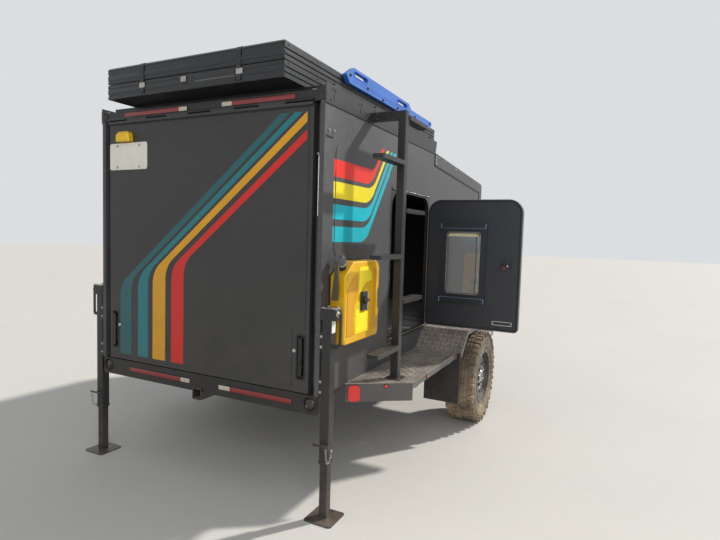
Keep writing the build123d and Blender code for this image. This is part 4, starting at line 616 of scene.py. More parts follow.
def buildTreadTree():  # raised bars in turn left and right, dropped on a sheet along a direction
    tree, given = newTree("treadBars", [("Sheet", "Object", None), ("Centre", "Vector", (0, 0, 0)),
        ("Width", "Float", 1.0), ("Length", "Float", 1.0), ("Columns", "Int", 10), ("Rows", "Int", 10),
        ("Way", "Vector", (0, 0, -1)), ("Slope", "Float", 0.5)])
    grid = addNode(tree, "GeometryNodeMeshGrid", {
        "Size X": given["Width"], "Size Y": given["Length"], "Vertices X": given["Columns"],
        "Vertices Y": given["Rows"]})
    index = addNode(tree, "GeometryNodeInputIndex")
    row = mathNode(tree, "FLOORED_MODULO", index, given["Rows"])
    column = mathNode(tree, "FLOOR", mathNode(tree, "DIVIDE", index, given["Rows"]))
    odd = mathNode(tree, "FLOORED_MODULO", mathNode(tree, "ADD", row, column), 2.0)
    placed = addNode(tree, "GeometryNodeTransform", {"Geometry": grid, "Translation": given["Centre"]})
    sheet = addNode(tree, "GeometryNodeObjectInfo", {0: given["Sheet"]})
    cast = addNode(tree, "GeometryNodeRaycast", {
        "Target Geometry": sheet.outputs["Geometry"], "Ray Direction": given["Way"], "Ray Length": 1.0})
    along = addNode(tree, "ShaderNodeVectorMath", {0: cast.outputs["Hit Normal"], 1: given["Way"]},
        operation="DOT_PRODUCT").outputs["Value"]
    facing = mathNode(tree, "GREATER_THAN", mathNode(tree, "MULTIPLY", along, -1.0), given["Slope"])
    kept = mathNode(tree, "MULTIPLY", cast.outputs["Is Hit"], facing)
    hitSpot = addNode(tree, "GeometryNodeCaptureAttribute", {"Geometry": placed})
    carried = (("Spot", "VECTOR", cast.outputs["Hit Position"]),
        ("Normal", "VECTOR", cast.outputs["Hit Normal"]), ("Kept", "FLOAT", kept), ("Odd", "FLOAT", odd))
    for label, kind, source in carried:
        hitSpot.capture_items.new(kind, label)
    for label, kind, source in carried:
        tree.links.new(source, hitSpot.inputs[label])
    missed = mathNode(tree, "LESS_THAN", hitSpot.outputs["Kept"], 0.5)
    trimmed = addNode(tree, "GeometryNodeDeleteGeometry", {"Geometry": hitSpot, "Selection": missed})
    dropped = addNode(tree, "GeometryNodeSetPosition", {"Geometry": trimmed,
        "Position": hitSpot.outputs["Spot"]})
    lean = addNode(tree, "FunctionNodeAlignRotationToVector", {"Vector": hitSpot.outputs["Normal"]},
        axis="Z")
    swing = mathNode(tree, "MULTIPLY", mathNode(tree, "SUBTRACT", hitSpot.outputs["Odd"], 0.5), math.pi / 2)
    return closeTree(tree, given, dropped, rolled(tree, lean, swing))


def rolled(tree, rotation, angle):  # the rotation with a turn about its own z axis
    roll = addNode(tree, "FunctionNodeEulerToRotation", {
        0: addNode(tree, "ShaderNodeCombineXYZ", {2: angle})})
    return addNode(tree, "FunctionNodeRotateRotation", {0: rotation, 1: roll}, rotation_space="LOCAL")


def buildChainTree():  # links along a path, each turned a quarter from the last
    tree, given = newTree("chainLinks", [("Path", "Object", None), ("Pitch", "Float", 0.01)])
    path = addNode(tree, "GeometryNodeObjectInfo", {0: given["Path"]})
    spots = addNode(tree, "GeometryNodeCurveToPoints", {
        "Curve": path.outputs["Geometry"], "Length": given["Pitch"]}, mode="LENGTH")
    turned = mathNode(tree, "FLOORED_MODULO", addNode(tree, "GeometryNodeInputIndex"), 2.0)
    quarter = mathNode(tree, "MULTIPLY", turned, math.pi / 2)
    return closeTree(tree, given, spots, rolled(tree, spots.outputs["Rotation"], quarter))


trees = {"row": buildRowTree(), "ring": buildRingTree(), "tread": buildTreadTree(),
    "chain": buildChainTree()}


def growInto(bm, kind, finish, **values):
    holder = newObject("holder", bpy.data.meshes.new("holder"))
    modifier = holder.modifiers.new("grow", "NODES")
    modifier.node_group = trees[kind]
    values["Material"] = finishes[finish]
    for item in trees[kind].interface.items_tree:
        if item.in_out == "INPUT" and item.name in values:
            modifier[item.identifier] = values[item.name]
    mesh = evaluatedMesh(holder)
    bpy.data.objects.remove(holder)
    bm.from_mesh(mesh)
    bpy.data.meshes.remove(mesh)


seeds = []


def seed(name, bm):  # a small piece for the trees to copy; it is taken out again at the end
    obj = newObject(name, closeMesh(name, bm, 1e-7, 40))
    obj.hide_render = True
    seeds.append(obj)
    return obj


def seedOf(name, add, *values):  # a seed made by one call of a mesh helper
    bm = bmesh.new()
    add(bm, *values)
    return seed(name, bm)


print("helpers and trees done")


# Small fasteners that the pieces share
def addScrew(bm, matrix=None, radius=0.004, height=0.0022):  # pan head with a recess
    addLathe(bm, [(-0.0005, radius), (height * 0.45, radius), (height, radius * 0.62),
        (height, radius * 0.36), (height * 0.45, radius * 0.32), (height * 0.45, 0)], matrix, 12)


def addBolt(bm, matrix=None, across=0.013, height=0.007):  # washer under a six-sided head
    addLathe(bm, [(-0.0005, across * 0.72), (0.0016, across * 0.72), (0.0016, across * 0.5)], matrix, 16)
    addPrism(bm, roundSection(across * 0.577, 6), 0.001, height, matrix, bevel=0.0012)


faceTurns = {0: (math.pi / 2, 0, 0), 1: (0, math.pi / 2, 0), -1: (0, -math.pi / 2, 0)}
screwSeed = seedOf("screwSeed", addScrew)
boltSeed = seedOf("boltSeed", addBolt)
rivetSeed = seedOf("rivetSeed", addLathe, [(-0.0005, 0.005), (0.0008, 0.005), (0.0022, 0.0036),
    (0.003, 0.0016), (0.003, 0)], None, 12)


def rowOf(bm, piece, start, end, count, side=0):  # a row of small parts on a side wall, or on the back for 0
    growInto(bm, "row", "edge_bright", Piece=piece, Start=start, End=end, Count=count, Turn=faceTurns[side])


def hitOn(surface, start, way):  # where a ray meets the surface, or None
    return surface.ray_cast(Vector(start), Vector(way))[0]


# a box on one side, from x near to far and (y, z) low to high
def sideBox(bm, side, near, far, low, high, bevel):
    left, right = sorted((side * near, side * far))
    addBox(bm, (left, *low), (right, *high), bevel)


def topFace(x, y, z):  # a plane that looks up: local x is +X
    return onPlane((x, y, z), (1, 0, 0), (0, 0, 1))


def surfaceOf(*names):  # rays fall on these frame nodes
    verts, faces = [], []
    for name in names:
        base = len(verts)
        mesh = nodes[name].data
        verts += [v.co.copy() for v in mesh.vertices]
        faces += [[base + i for i in face.vertices] for face in mesh.polygons]
    return BVHTree.FromPolygons(verts, faces)


def addShell(bm, top, bottom):  # a closed skin between two grids of points
    made = bmesh.new()
    rows, columns = len(top), len(top[0])
    upper, lower = [[[made.verts.new(spot) for spot in row] for row in grid] for grid in (top, bottom)]
    for i in range(rows - 1):
        for j in range(columns - 1):
            made.faces.new((upper[i][j], upper[i + 1][j], upper[i + 1][j + 1], upper[i][j + 1]))
            made.faces.new((lower[i][j], lower[i][j + 1], lower[i + 1][j + 1], lower[i + 1][j]))
    rim = [(i, 0) for i in range(rows)] + [(rows - 1, j) for j in range(1, columns)]
    rim += [(i, columns - 1) for i in range(rows - 2, -1, -1)] + [(0, j) for j in range(columns - 2, 0, -1)]
    for (i, j), (k, m) in zip(rim, rim[1:] + rim[:1]):
        made.faces.new((upper[i][j], upper[k][m], lower[k][m], lower[i][j]))
    bmesh.ops.recalc_face_normals(made, faces=list(made.faces))
    pour(made, bm)


# Retro stripes: four bands over the hatch and three on each side wall, as vinyl film
stripeSizes = {"hatchLow": 0.635, "hatchTop": 1.945, "hatchSide": 0.667, "hatchSlope": 0.80,
    "hatchLevel": 1.634, "hatchBend": 0.146, "sideStart": -1.705, "sideTop": 1.87, "sideSlope": 1.32,
    "sideLevel": 1.80, "film": 0.0005, "sunk": 0.0002, "cell": 0.006}
# Film, then for the left and the right edge: x of the upright part, x of the slant at the level height
hatchBands = (("film_deep_teal", (-0.610, 0.126), (-0.517, 0.180)),
    ("film_teal", (-0.462, 0.206), (-0.381, 0.252)), ("film_amber", (-0.344, 0.277), (-0.246, 0.337)),
    ("film_red", (-0.200, 0.384), (-0.109, 0.439)))
# Film, then for the upper and the lower edge: height of the level part, y of the slant, bend radius
sideBands = (("film_red_side", (1.735, -1.213, 0.06), (1.651, -1.175, 0.15)),
    ("film_yellow", (1.629, -1.142, 0.15), (1.548, -1.111, 0.15)),
    ("film_cyan", (1.519, -1.089, 0.15), (1.447, -1.053, 0.15)),
    ("film_cyan_low", (1.412, -1.037, 0.15), (1.336, -0.994, 0.15)))


def bentEdge(start, corner, end, radius, counts):  # two straight runs joined by an arc, in a plane
    start, corner, end = Vector(start), Vector(corner), Vector(end)
    back, ahead = (start - corner).normalized(), (end - corner).normalized()
    half = back.angle(ahead) / 2
    centre = corner + (back + ahead).normalized() * radius / math.sin(half)
    first, last = corner + back * radius / math.tan(half), corner + ahead * radius / math.tan(half)
    startTurn = math.atan2(first.y - centre.y, first.x - centre.x)
    sweep = (math.atan2(last.y - centre.y, last.x - centre.x) - startTurn + math.pi) % (2
        * math.pi) - math.pi
    points = [start.lerp(first, i / counts[0]) for i in range(counts[0])]
    for i in range(counts[1]):
        turn = startTurn + sweep * i / counts[1]
        points.append(centre + radius * Vector((math.cos(turn), math.sin(turn))))
    return points + [last.lerp(end, i / counts[2]) for i in range(counts[2] + 1)]


def hatchStripes(sizes):
    rise = sizes["hatchTop"] - sizes["hatchLevel"]
    for film, *edges in hatchBands:
        lines = []
        for upright, slant in edges:
            corner = (upright, sizes["hatchLevel"] - (slant - upright) * sizes["hatchSlope"])
            endX = min(slant + (rise) / sizes["hatchSlope"], sizes["hatchSide"])
            endZ = sizes["hatchLevel"] + (endX - slant) * sizes["hatchSlope"]
            lines.append(bentEdge((upright, sizes["hatchLow"]), corner, (endX, endZ), sizes["hatchBend"],
                (4, 18, 4)))
        bm = bmesh.new()
        addShell(bm, *[[[(spot.x, hatchSkinY + shift, spot.y) for spot in pair] for pair in zip(*lines)]
            for shift in (-sizes["film"], sizes["sunk"])])
        setPiece("hatchStripe_" + film[5:], bm, film, "hatch")


def sideStripes(sizes):
    rise = sizes["sideTop"] - sizes["sideLevel"]
    for side, mark in ((1, "r"), (-1, "l")):
        wall = surfaceOf("side_wall_" + mark)
        for film, *edges in sideBands:
            lines = []
            for level, slant, bend in edges:
                corner = (slant - (sizes["sideLevel"] - level) / sizes["sideSlope"], level)
                end = (slant + (rise) / sizes["sideSlope"], sizes["sideTop"])
                counts = [max(2, int(length / sizes["cell"])) for length in (
                    abs(corner[0] - sizes["sideStart"]), 0.2, abs(end[1] - corner[1]) * 1.2)]
                lines.append((corner, end, bend, level, counts))
            shared = [max(line[4][k] for line in lines) for k in range(3)]
            paths = [bentEdge((sizes["sideStart"], level), corner, end, bend, shared) for corner, end, bend,
                level, counts in lines]
            across = max(2, int(abs(edges[0][0] - edges[1][0]) / sizes["cell"]))
            hits = []
            for upper, lower in zip(*paths):
                spots = [upper.lerp(lower, j / across) for j in range(across + 1)]
                hits.append([hitOn(wall, (side * 1.5, spot.x, spot.y), (-side, 0, 0)) for spot in spots])
            bm = bmesh.new()
            addShell(bm, *[[[(spot.x + side * shift, spot.y, spot.z) for spot in row] for row in hits]
                for shift in (sizes["film"], -sizes["sunk"])])
            setPiece("sideStripe_" + film[5:] + "_" + mark, bm, film, "trailer")


hatchSkinY = hitOn(surfaceOf("hatch_panel"), (0.3, -3, 1.2), (0, 1, 0)).y
hatchStripes(stripeSizes)
sideStripes(stripeSizes)
print("stripes done, hatch skin at", round(hatchSkinY, 4))


# Blank number plate on its four bolts
plateSizes = {"centre": (-0.542, 1.786), "width": 0.305, "height": 0.152, "corner": 0.014, "sheet": 0.0012,
    "rim": 0.004, "pitchX": 0.178, "pitchZ": 0.121, "seat": 0.0008}


def numberPlate(sizes):
    x, z = sizes["centre"]
    plane = rearFace(x, hatchSkinY - sizes["seat"], z)
    wide, tall, rim, corner = sizes["width"], sizes["height"], sizes["rim"], sizes["corner"]
    bm = bmesh.new()
    addPrism(bm, roundRect(wide, tall, corner), 0, sizes["sheet"], plane, bevel=0.0004)
    outer = roundRect(wide - 2 * rim, tall - 2 * rim, corner * 0.8)
    inner = roundRect(wide - 4 * rim, tall - 4 * rim, corner * 0.55)
    addPrism(bm, outer, sizes["sheet"] * 0.8, sizes["sheet"] + 0.001, plane, bevel=0.0005, holes=[inner])
    setPiece("numberPlate", bm, "plate_pale", "hatch")
    bolts = bmesh.new()
    for sx in (-1, 1):
        for sz in (-1, 1):
            spot = (x + sx * sizes["pitchX"] / 2, hatchSkinY - sizes["sheet"] - sizes["seat"],
                z + sz * sizes["pitchZ"] / 2)
            addBolt(bolts, rearFace(*spot), 0.010, 0.0055)
    setPiece("plateBolts", bolts, "edge_bright", "hatch")


# Reflective bars: two on the roof header and two on the bumper, each red with a pale end
barSizes = {"deep": 0.004, "frame": 0.0025, "headerZ": (2.0058, 2.0328), "bumperZ": (0.535, 0.563)}
# Place of the bar, its two ends, then the ends of its pale part
reflectBars = (("headerZ", -0.571, -0.086, -0.150, -0.092), ("headerZ", 0.141, 0.600, 0.148, 0.213),
    ("bumperZ", -0.529, -0.056, -0.123, -0.058), ("bumperZ", 0.142, 0.613, 0.149, 0.224))


def reflectors(sizes):
    red, pale, frameBm = newMeshes(3)
    for place, left, right, paleLeft, paleRight in reflectBars:
        low, high = sizes[place]
        edge = sizes["frame"]
        middle = rearFace((left + right) / 2, rearY, (low + high) / 2)
        addPrism(frameBm, roundRect(right - left, high - low, 0.005), 0, sizes["deep"] * 0.6, middle,
            bevel=0.0008)
        parts = ((left + edge, paleLeft - 0.001, red), (paleLeft, paleRight, pale),
            (paleRight + 0.001, right - edge, red))
        for start, stop, bm in parts:
            if stop - start > 0.004:
                spot = rearFace((start + stop) / 2, rearY, (low + high) / 2)
                addPrism(bm, roundRect(stop - start, high - low - 2 * edge, 0.0025), 0.001, sizes["deep"],
                    spot, bevel=0.0009)
    setPiece("reflectorFrames", frameBm, "rubber_seal")
    setPiece("reflectorRed", red, "tape_red", "trailer")
    setPiece("reflectorPale", pale, "tape_white")


# Round lamps in the bumper: rims and stepped lenses, whose darker red is painted shade
lampSizes = {"bumperX": 0.712, "bumperZ": 0.552, "radius": 0.034, "rim": 0.0055}


def bumperLamps(sizes):
    rims, lens = newMeshes(2)
    for side in (1, -1):
        plane = rearFace(side * sizes["bumperX"], rearY, sizes["bumperZ"])
        r, rim = sizes["radius"], sizes["rim"]
        addLathe(rims, [(-0.012, r - 0.001), (0.0, r + rim), (0.003, r + rim * 0.7), (0.004, r),
            (0.001, r - 0.004), (-0.012, r - 0.005), (-0.012, r - 0.001)], plane, 48)
        addLathe(lens, [(-0.013, r - 0.005), (-0.004, r - 0.006), (-0.0015, r * 0.72), (-0.003, r * 0.66),
            (0.0005, r * 0.4), (-0.001, r * 0.34), (0.001, 0)], plane, 48)
    setPiece("bumperLampRims", rims, "rubber_seal")
    setPiece("bumperLampLenses", lens, "lamp_red_shaded", "trailer")


# Hatch trim: lock cylinders, bezels and liners of the pulls, edge lines that are painted highlights, and the
# seal
hatchSizes = {"lockX": 0.618, "lockZ": 0.803, "lockR": 0.0095, "pullX": 0.655, "pullZ": 0.774,
    "pull": (0.042, 0.214), "sealX": 0.688, "sealLow": 0.655, "sealHigh": 1.938, "sealW": 0.012,
    "sealT": 0.0042, "sealCorner": 0.05}


def hatchTrim(sizes):
    locks = bmesh.new()
    for side in (1, -1):
        plane = rearFace(side * sizes["lockX"], hatchSkinY + 0.003, sizes["lockZ"])
        r = sizes["lockR"]
        addLathe(locks, [(-0.001, r), (0.004, r), (0.0055, r * 0.86), (0.0055, r * 0.6), (0.0035, r * 0.55),
            (0.0035, 0)], plane, 32)
        addBox(locks, (-0.0012, -0.005, 0.003), (0.0012, 0.005, 0.0042), 0.0003, plane)
    setPiece("hatchLocks", locks, "bright_steel", "hatch")
    bezels, liners = newMeshes(2)
    panel = surfaceOf("hatch_panel")
    for side in (1, -1):
        x, z = side * sizes["pullX"], sizes["pullZ"]
        wide, tall = sizes["pull"]
        addPrism(bezels, roundRect(wide + 0.012, tall + 0.012, 0.011), -0.0005, 0.0022,
            rearFace(x, hatchSkinY + 0.003, z), bevel=0.0009,
            holes=[roundRect(wide - 0.002, tall - 0.002, 0.007)])
        pocketY = hitOn(panel, (x + 0.017, -3, z - 0.098), (0, 1, 0)).y
        addPrism(liners, roundRect(wide - 0.003, tall - 0.003, 0.007), -0.0005, 0.0008,
            rearFace(x, pocketY, z))
    setPiece("pullBezels", bezels, "chrome_trim", "hatch")
    setPiece("pullLiners", liners, "rubber_seal", "hatch")
    # Thin light lines on the hatch's top edge and in each wall's rear edge gap: painted highlights of lit
    # edges
    lines = bmesh.new()
    addBox(lines, (-0.699, hatchSkinY - 0.0118, 1.9825), (0.699, hatchSkinY - 0.0095, 1.9850), 0.0006)
    setPiece("hatchTopLine", lines, "coated_body", "hatch")
    edges = bmesh.new()
    for side in (1, -1):
        sideBox(edges, side, 0.7465, 0.7495, (rearY - 0.0012, 0.60), (rearY + 0.001, 1.985), 0.0006)
    setPiece("wallEdgeLines", edges, "coated_body", "trailer")
    seal = bmesh.new()
    faceY = hitOn(surfaceOf("hatch_jamb"), (0.0, -3, 1.945), (0, 1, 0)).y
    low, high, thick, half = sizes["sealLow"], sizes["sealHigh"], sizes["sealT"], sizes["sealW"] / 2
    ring = [(x, faceY - thick / 2, (low + high) / 2 + z) for x,
        z in roundRect(2 * sizes["sealX"], high - low, sizes["sealCorner"], 8)]
    section = [(thick / 2, -half), (thick / 2, half), (-thick * 0.2, half), (-thick / 2, half * 0.4),
        (-thick / 2, -half * 0.4), (-thick * 0.2, -half)]
    addSweep(seal, ring, section, closed=True)
    setPiece("hatchSeal", seal, "rubber_seal")


numberPlate(plateSizes)
reflectors(barSizes)
bumperLamps(lampSizes)
hatchTrim(hatchSizes)
print("rear trim done")


# Roof tent: edge rails, straps with buckles, rivets, rear flap and the dots of its vent
tentSizes = {"rail": 0.0022, "strapW": 0.026, "strapT": 0.0018, "strapLow": 2.098, "over": 0.10,
    "flap": (0.016, 0.311, 2.092, 2.150), "vent": (0.060, 0.299, 2.121, 18)}


def tentTrim(sizes):
    half, rear, front = tentHigh.x, tentLow.y, tentHigh.y
    lidTop, baseTop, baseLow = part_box("tent_lid")[1].z, tentSplit - 0.005, tentLow.z
    # Body, then the low and the high edge of each of its rails
    rails = {"lid": ((lidTop - 0.016, lidTop - 0.009), (tentSplit + 0.0135, tentSplit + 0.0195),
        (tentSplit + 0.028, tentSplit + 0.052)), "trailer": ((baseTop - 0.008, baseTop - 0.001),
        (baseLow + 0.001, baseLow + 0.008), (baseLow + 0.030, baseLow + 0.050))}
    for body, heights in rails.items():
        bm = bmesh.new()
        for low, high in heights:
            addBox(bm, (-half + 0.001, rear - sizes["rail"], low), (half - 0.001, rear + 0.001, high),
                0.0008)
        setPiece("tentRails_" + body + "_tent", bm, "tent_shell", body)
    straps, buckles = newMeshes(2)
    t, w = sizes["strapT"], sizes["strapW"]
    for x in (-0.325, 0.330):
        out = rear - sizes["rail"] - t
        path = [(x, rear + sizes["over"], lidTop + t / 2 + 0.0003),
            (x, rear + 0.03, lidTop + t / 2 + 0.0003), (x, rear + 0.008, lidTop + 0.0008),
            (x, rear - 0.0015, lidTop - 0.008), (x, out, lidTop - 0.02), (x, out, tentSplit + 0.02),
            (x, out - 0.001, tentSplit - 0.015), (x, out, sizes["strapLow"])]
        section = [(-w / 2, -t / 2), (w / 2, -t / 2), (w / 2, t / 2), (-w / 2, t / 2)]
        addSweep(straps, smoothPath(path, 6), section, up=(0, -1, 1))
        addBox(straps, (x - w / 2, rear + sizes["over"] - 0.02, lidTop),
            (x + w / 2, rear + sizes["over"] + 0.012, lidTop + 0.0035), 0.001)
    for x, wide in ((-0.322, 0.034), (-0.025, 0.030), (0.336, 0.034)):
        plane = rearFace(x, rear - sizes["rail"] - t, 2.139)
        addPrism(buckles, roundRect(wide + 0.006, 0.026, 0.004), 0, 0.0022, plane, bevel=0.0006,
            holes=[roundRect(wide - 0.008, 0.006, 0.002)])
        addPrism(buckles, roundRect(wide, 0.010, 0.003), 0.0015, 0.0030,
            plane @ Matrix.Translation((0, -0.002, 0)), bevel=0.0012)
    setPiece("tentStraps", straps, "strap_web", "lid")
    setPiece("tentBuckles", buckles, "edge_bright", "lid")
    lidRivets, baseRivets = newMeshes(2)
    for x, z in ((-0.116, 2.221), (0.069, 2.224), (-0.54, 2.221), (0.54, 2.221)):
        rowOf(lidRivets, rivetSeed, (x, rear, z), (x, rear, z), 1)
    for x, z in ((-0.46, 2.150), (0.478, 2.150), (-0.56, 2.112), (0.56, 2.112)):
        rowOf(baseRivets, rivetSeed, (x, rear, z), (x, rear, z), 1)
    for bm, z in ((lidRivets, 2.2385), (baseRivets, 2.155)):
        for side in (1, -1):
            rowOf(bm, rivetSeed, (side * half, rear + 0.03, z), (side * half, front - 0.03, z), 9, side)
    setPiece("tentLidRivets", lidRivets, "tent_shell", "lid")
    setPiece("tentBaseRivets", baseRivets, "tent_shell")
    left, right, low, high = sizes["flap"]
    flap = bmesh.new()
    plane = rearFace((left + right) / 2, rear - 0.0016, (low + high) / 2)
    addPrism(flap, roundRect(right - left, high - low, 0.008), 0, 0.0018, plane, bevel=0.0006)
    rowOf(flap, rivetSeed, (left + 0.015, rear - 0.0038, high - 0.008),
        (right - 0.015, rear - 0.0038, high - 0.008), 5)
    setPiece("tentFlap", flap, "tent_shell")
    dotSeed = seedOf("ventDot", addLathe, [(-0.0004, 0.0030), (0.0008, 0.0028), (0.0008, 0.0016),
        (0.0, 0.0013), (0.0, 0)], None, 8)
    vents = bmesh.new()
    left, right, level, count = sizes["vent"]
    rowOf(vents, dotSeed, (left, rear - 0.0042, level), (right, rear - 0.0042, level), count)
    setPiece("tentVentDots", vents, "edge_bright")


tentTrim(tentSizes)


# Blue board: lips round the hand slots, ribs and its fixing bolts
boardSizes = {"lip": 0.0022, "lipW": 0.007, "slotLong": 0.170, "slotH": 0.026,
    "slots": ((-1.170, 2.278), (-0.540, 2.278)), "ribs": ((-1.24, -0.44, 2.250), (-1.26, -0.42, 2.238))}


def boardTrim(sizes):
    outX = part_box("side_board")[1].x
    bm = bmesh.new()
    long, tall, lipW = sizes["slotLong"], sizes["slotH"], sizes["lipW"]
    for y, z in sizes["slots"]:
        addPrism(bm, roundRect(long + 2 * lipW, tall + 2 * lipW, tall / 2 + lipW - 0.0005, 10), -0.0005,
            sizes["lip"], sideFace(1, outX, y, z), bevel=0.0009,
            holes=[roundRect(long, tall, tall / 2 - 0.0005, 10)])
    for start, stop, z in sizes["ribs"]:
        addPrism(bm, roundRect(stop - start, 0.005, 0.0024), -0.0005, 0.0014,
            sideFace(1, outX, (start + stop) / 2, z), bevel=0.0006)
    setPiece("boardLips", bm, "board_blue", "lid")
    bolts = bmesh.new()
    rowOf(bolts, boltSeed, (outX, -1.30, 2.258), (outX, -0.86, 2.226), 3, 1)
    rowOf(bolts, boltSeed, (outX, -0.62, 2.232), (outX, 0.03, 2.258), 3, 1)
    setPiece("boardBolts", bolts, "coated_black", "lid")


boardTrim(boardSizes)


# Roof rack: bolts, a bright lip on each side plate that is a painted highlight of its lit top edge, ears at
# the header
rackSizes = {"boltZ": 1.999, "boltY": (0.045, -0.27), "bolts": 7}


def rackTrim(sizes):
    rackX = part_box("roof_rack")[1].x
    bolts, lips, ears = newMeshes(3)
    first, last = sizes["boltY"]
    for side in (1, -1):
        rowOf(bolts, screwSeed, (side * rackX, rearY + first, sizes["boltZ"]),
            (side * rackX, last, sizes["boltZ"]), sizes["bolts"], side)
        sideBox(lips, side, 0.690, 0.7655, (rearY - 0.0030, 2.0410), (rearY + 0.004, 2.0440), 0.0007)
        sideBox(ears, side, 0.716, 0.7665, (rearY - 0.0035, 1.991), (rearY - 0.0005, 2.052), 0.0012)
        for z in (2.005, 2.038):
            addBolt(ears, rearFace(side * 0.742, rearY - 0.0035, z), 0.011, 0.006)
    setPiece("rackBolts", bolts, "coated_black", "trailer")
    setPiece("rackLips", lips, "edge_bright")
    setPiece("headerEars", ears, "coated_black", "trailer")


rackTrim(rackSizes)
print("roof trim done")


# Tyres: rounded carcass with blocks of tread, set on the wheels in place of the plain ones
tyreSizes = {"centre": 1.038, "axleZ": 0.338, "radius": 0.3376, "count": 24, "centreCount": 40,
    "side": 0.1068, "foot": -0.013, "round": 0.0016}
tyreProfile = [(0.083, 0.200), (0.0925, 0.2045), (0.0965, 0.212), (0.1010, 0.224), (0.1015, 0.2285),
    (0.1040, 0.2300), (0.1042, 0.2345), (0.1022, 0.2365), (0.1042, 0.250), (0.1052, 0.268), (0.1046, 0.284),
    (0.1058, 0.2855), (0.1056, 0.2885), (0.1030, 0.2900), (0.1005, 0.303), (0.0950, 0.316),
    (0.0860, 0.3245), (0.070, 0.3275), (0.035, 0.3287), (0.0, 0.3290)]


def tyreSeeds(sizes):
    longLug, shortLug, centreLug = newMeshes(3)
    foot, bevel = sizes["foot"], sizes["round"]
    addPrism(longLug, [(0.060, -0.012), (0.076, -0.0165), (0.1025, -0.0165), (0.1025, 0.012),
        (0.082, 0.016), (0.060, 0.012)], foot, -0.0012, None, bevel)
    addBox(longLug, (0.0900, -0.0135, -0.037), (sizes["side"], 0.0105, -0.0035), 0.0022)
    addPrism(shortLug, [(0.063, -0.015), (0.0985, -0.013), (0.0985, 0.0145), (0.078, 0.0165),
        (0.063, 0.012)], foot, -0.0012, None, bevel)
    addBox(shortLug, (0.0900, -0.0110, -0.022), (0.1030, 0.0125, -0.0035), 0.002)
    half = [(0.0012, -0.018), (0.0125, -0.0225), (0.0235, -0.012), (0.0215, 0.013), (0.0095, 0.0205),
        (0.0012, 0.016)]
    for shift, turn in ((-0.033, 1), (0.033, -1)):
        for way in (-1, 1):
            outline = [(shift + way * x, turn * y) for x, y in half]
            addPrism(centreLug, outline if way * turn > 0 else outline[::-1], foot, -0.0006, None, bevel)
    return seed("longLug", longLug), seed("shortLug", shortLug), seed("centreLug", centreLug)


def mirrorX(source):  # the same mesh for the other shoulder
    copy = bmesh.new()
    copy.from_mesh(source.data)
    bmesh.ops.scale(copy, vec=(-1, 1, 1), verts=list(copy.verts))
    bmesh.ops.reverse_faces(copy, faces=list(copy.faces))
    return copy


def tyres(sizes):
    longLug, shortLug, centreLug = tyreSeeds(sizes)
    longBack, shortBack = seed("longLugBack", mirrorX(longLug)), seed("shortLugBack", mirrorX(shortLug))
    loop = tyreProfile + [(-h, r) for h, r in reversed(tyreProfile[:-1])]
    loop += [(-0.078, 0.206), (-0.060, 0.300), (0.060, 0.300), (0.078, 0.206), tyreProfile[0]]
    step = 1 / sizes["count"]
    for side, mark in ((1, "r"), (-1, "l")):
        centre = (side * sizes["centre"], 0, sizes["axleZ"])
        bm = bmesh.new()
        addLathe(bm, loop, onPlane(centre, (0, 1, 0), (1, 0, 0)), 96)
        for piece, phase in ((longLug, 0), (shortLug, 0.5), (longBack, 0.25), (shortBack, 0.75),
                (centreLug, 0.1)):
            growInto(bm, "ring", "tyre_rubber", Piece=piece, Centre=centre, Radius=sizes["radius"],
                Count=sizes["centreCount" if piece == centreLug else "count"], Phase=phase * step)
        made = setPiece("tyreTread_" + mark, bm, "tyre_rubber", "wheel_" + mark)
        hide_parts("tyre_" + mark)


tyres(tyreSizes)


# Wheels: bolted outer ring, cone nuts, hub cap and valve
wheelSizes = {"ring": (0.1805, 0.2040), "ringX": (0.0940, 0.0975), "bolts": 24, "boltR": 0.1925,
    "nutR": 0.066, "nuts": 6, "capR": 0.0448, "capX": (0.070, 0.0862), "valveR": 0.158}


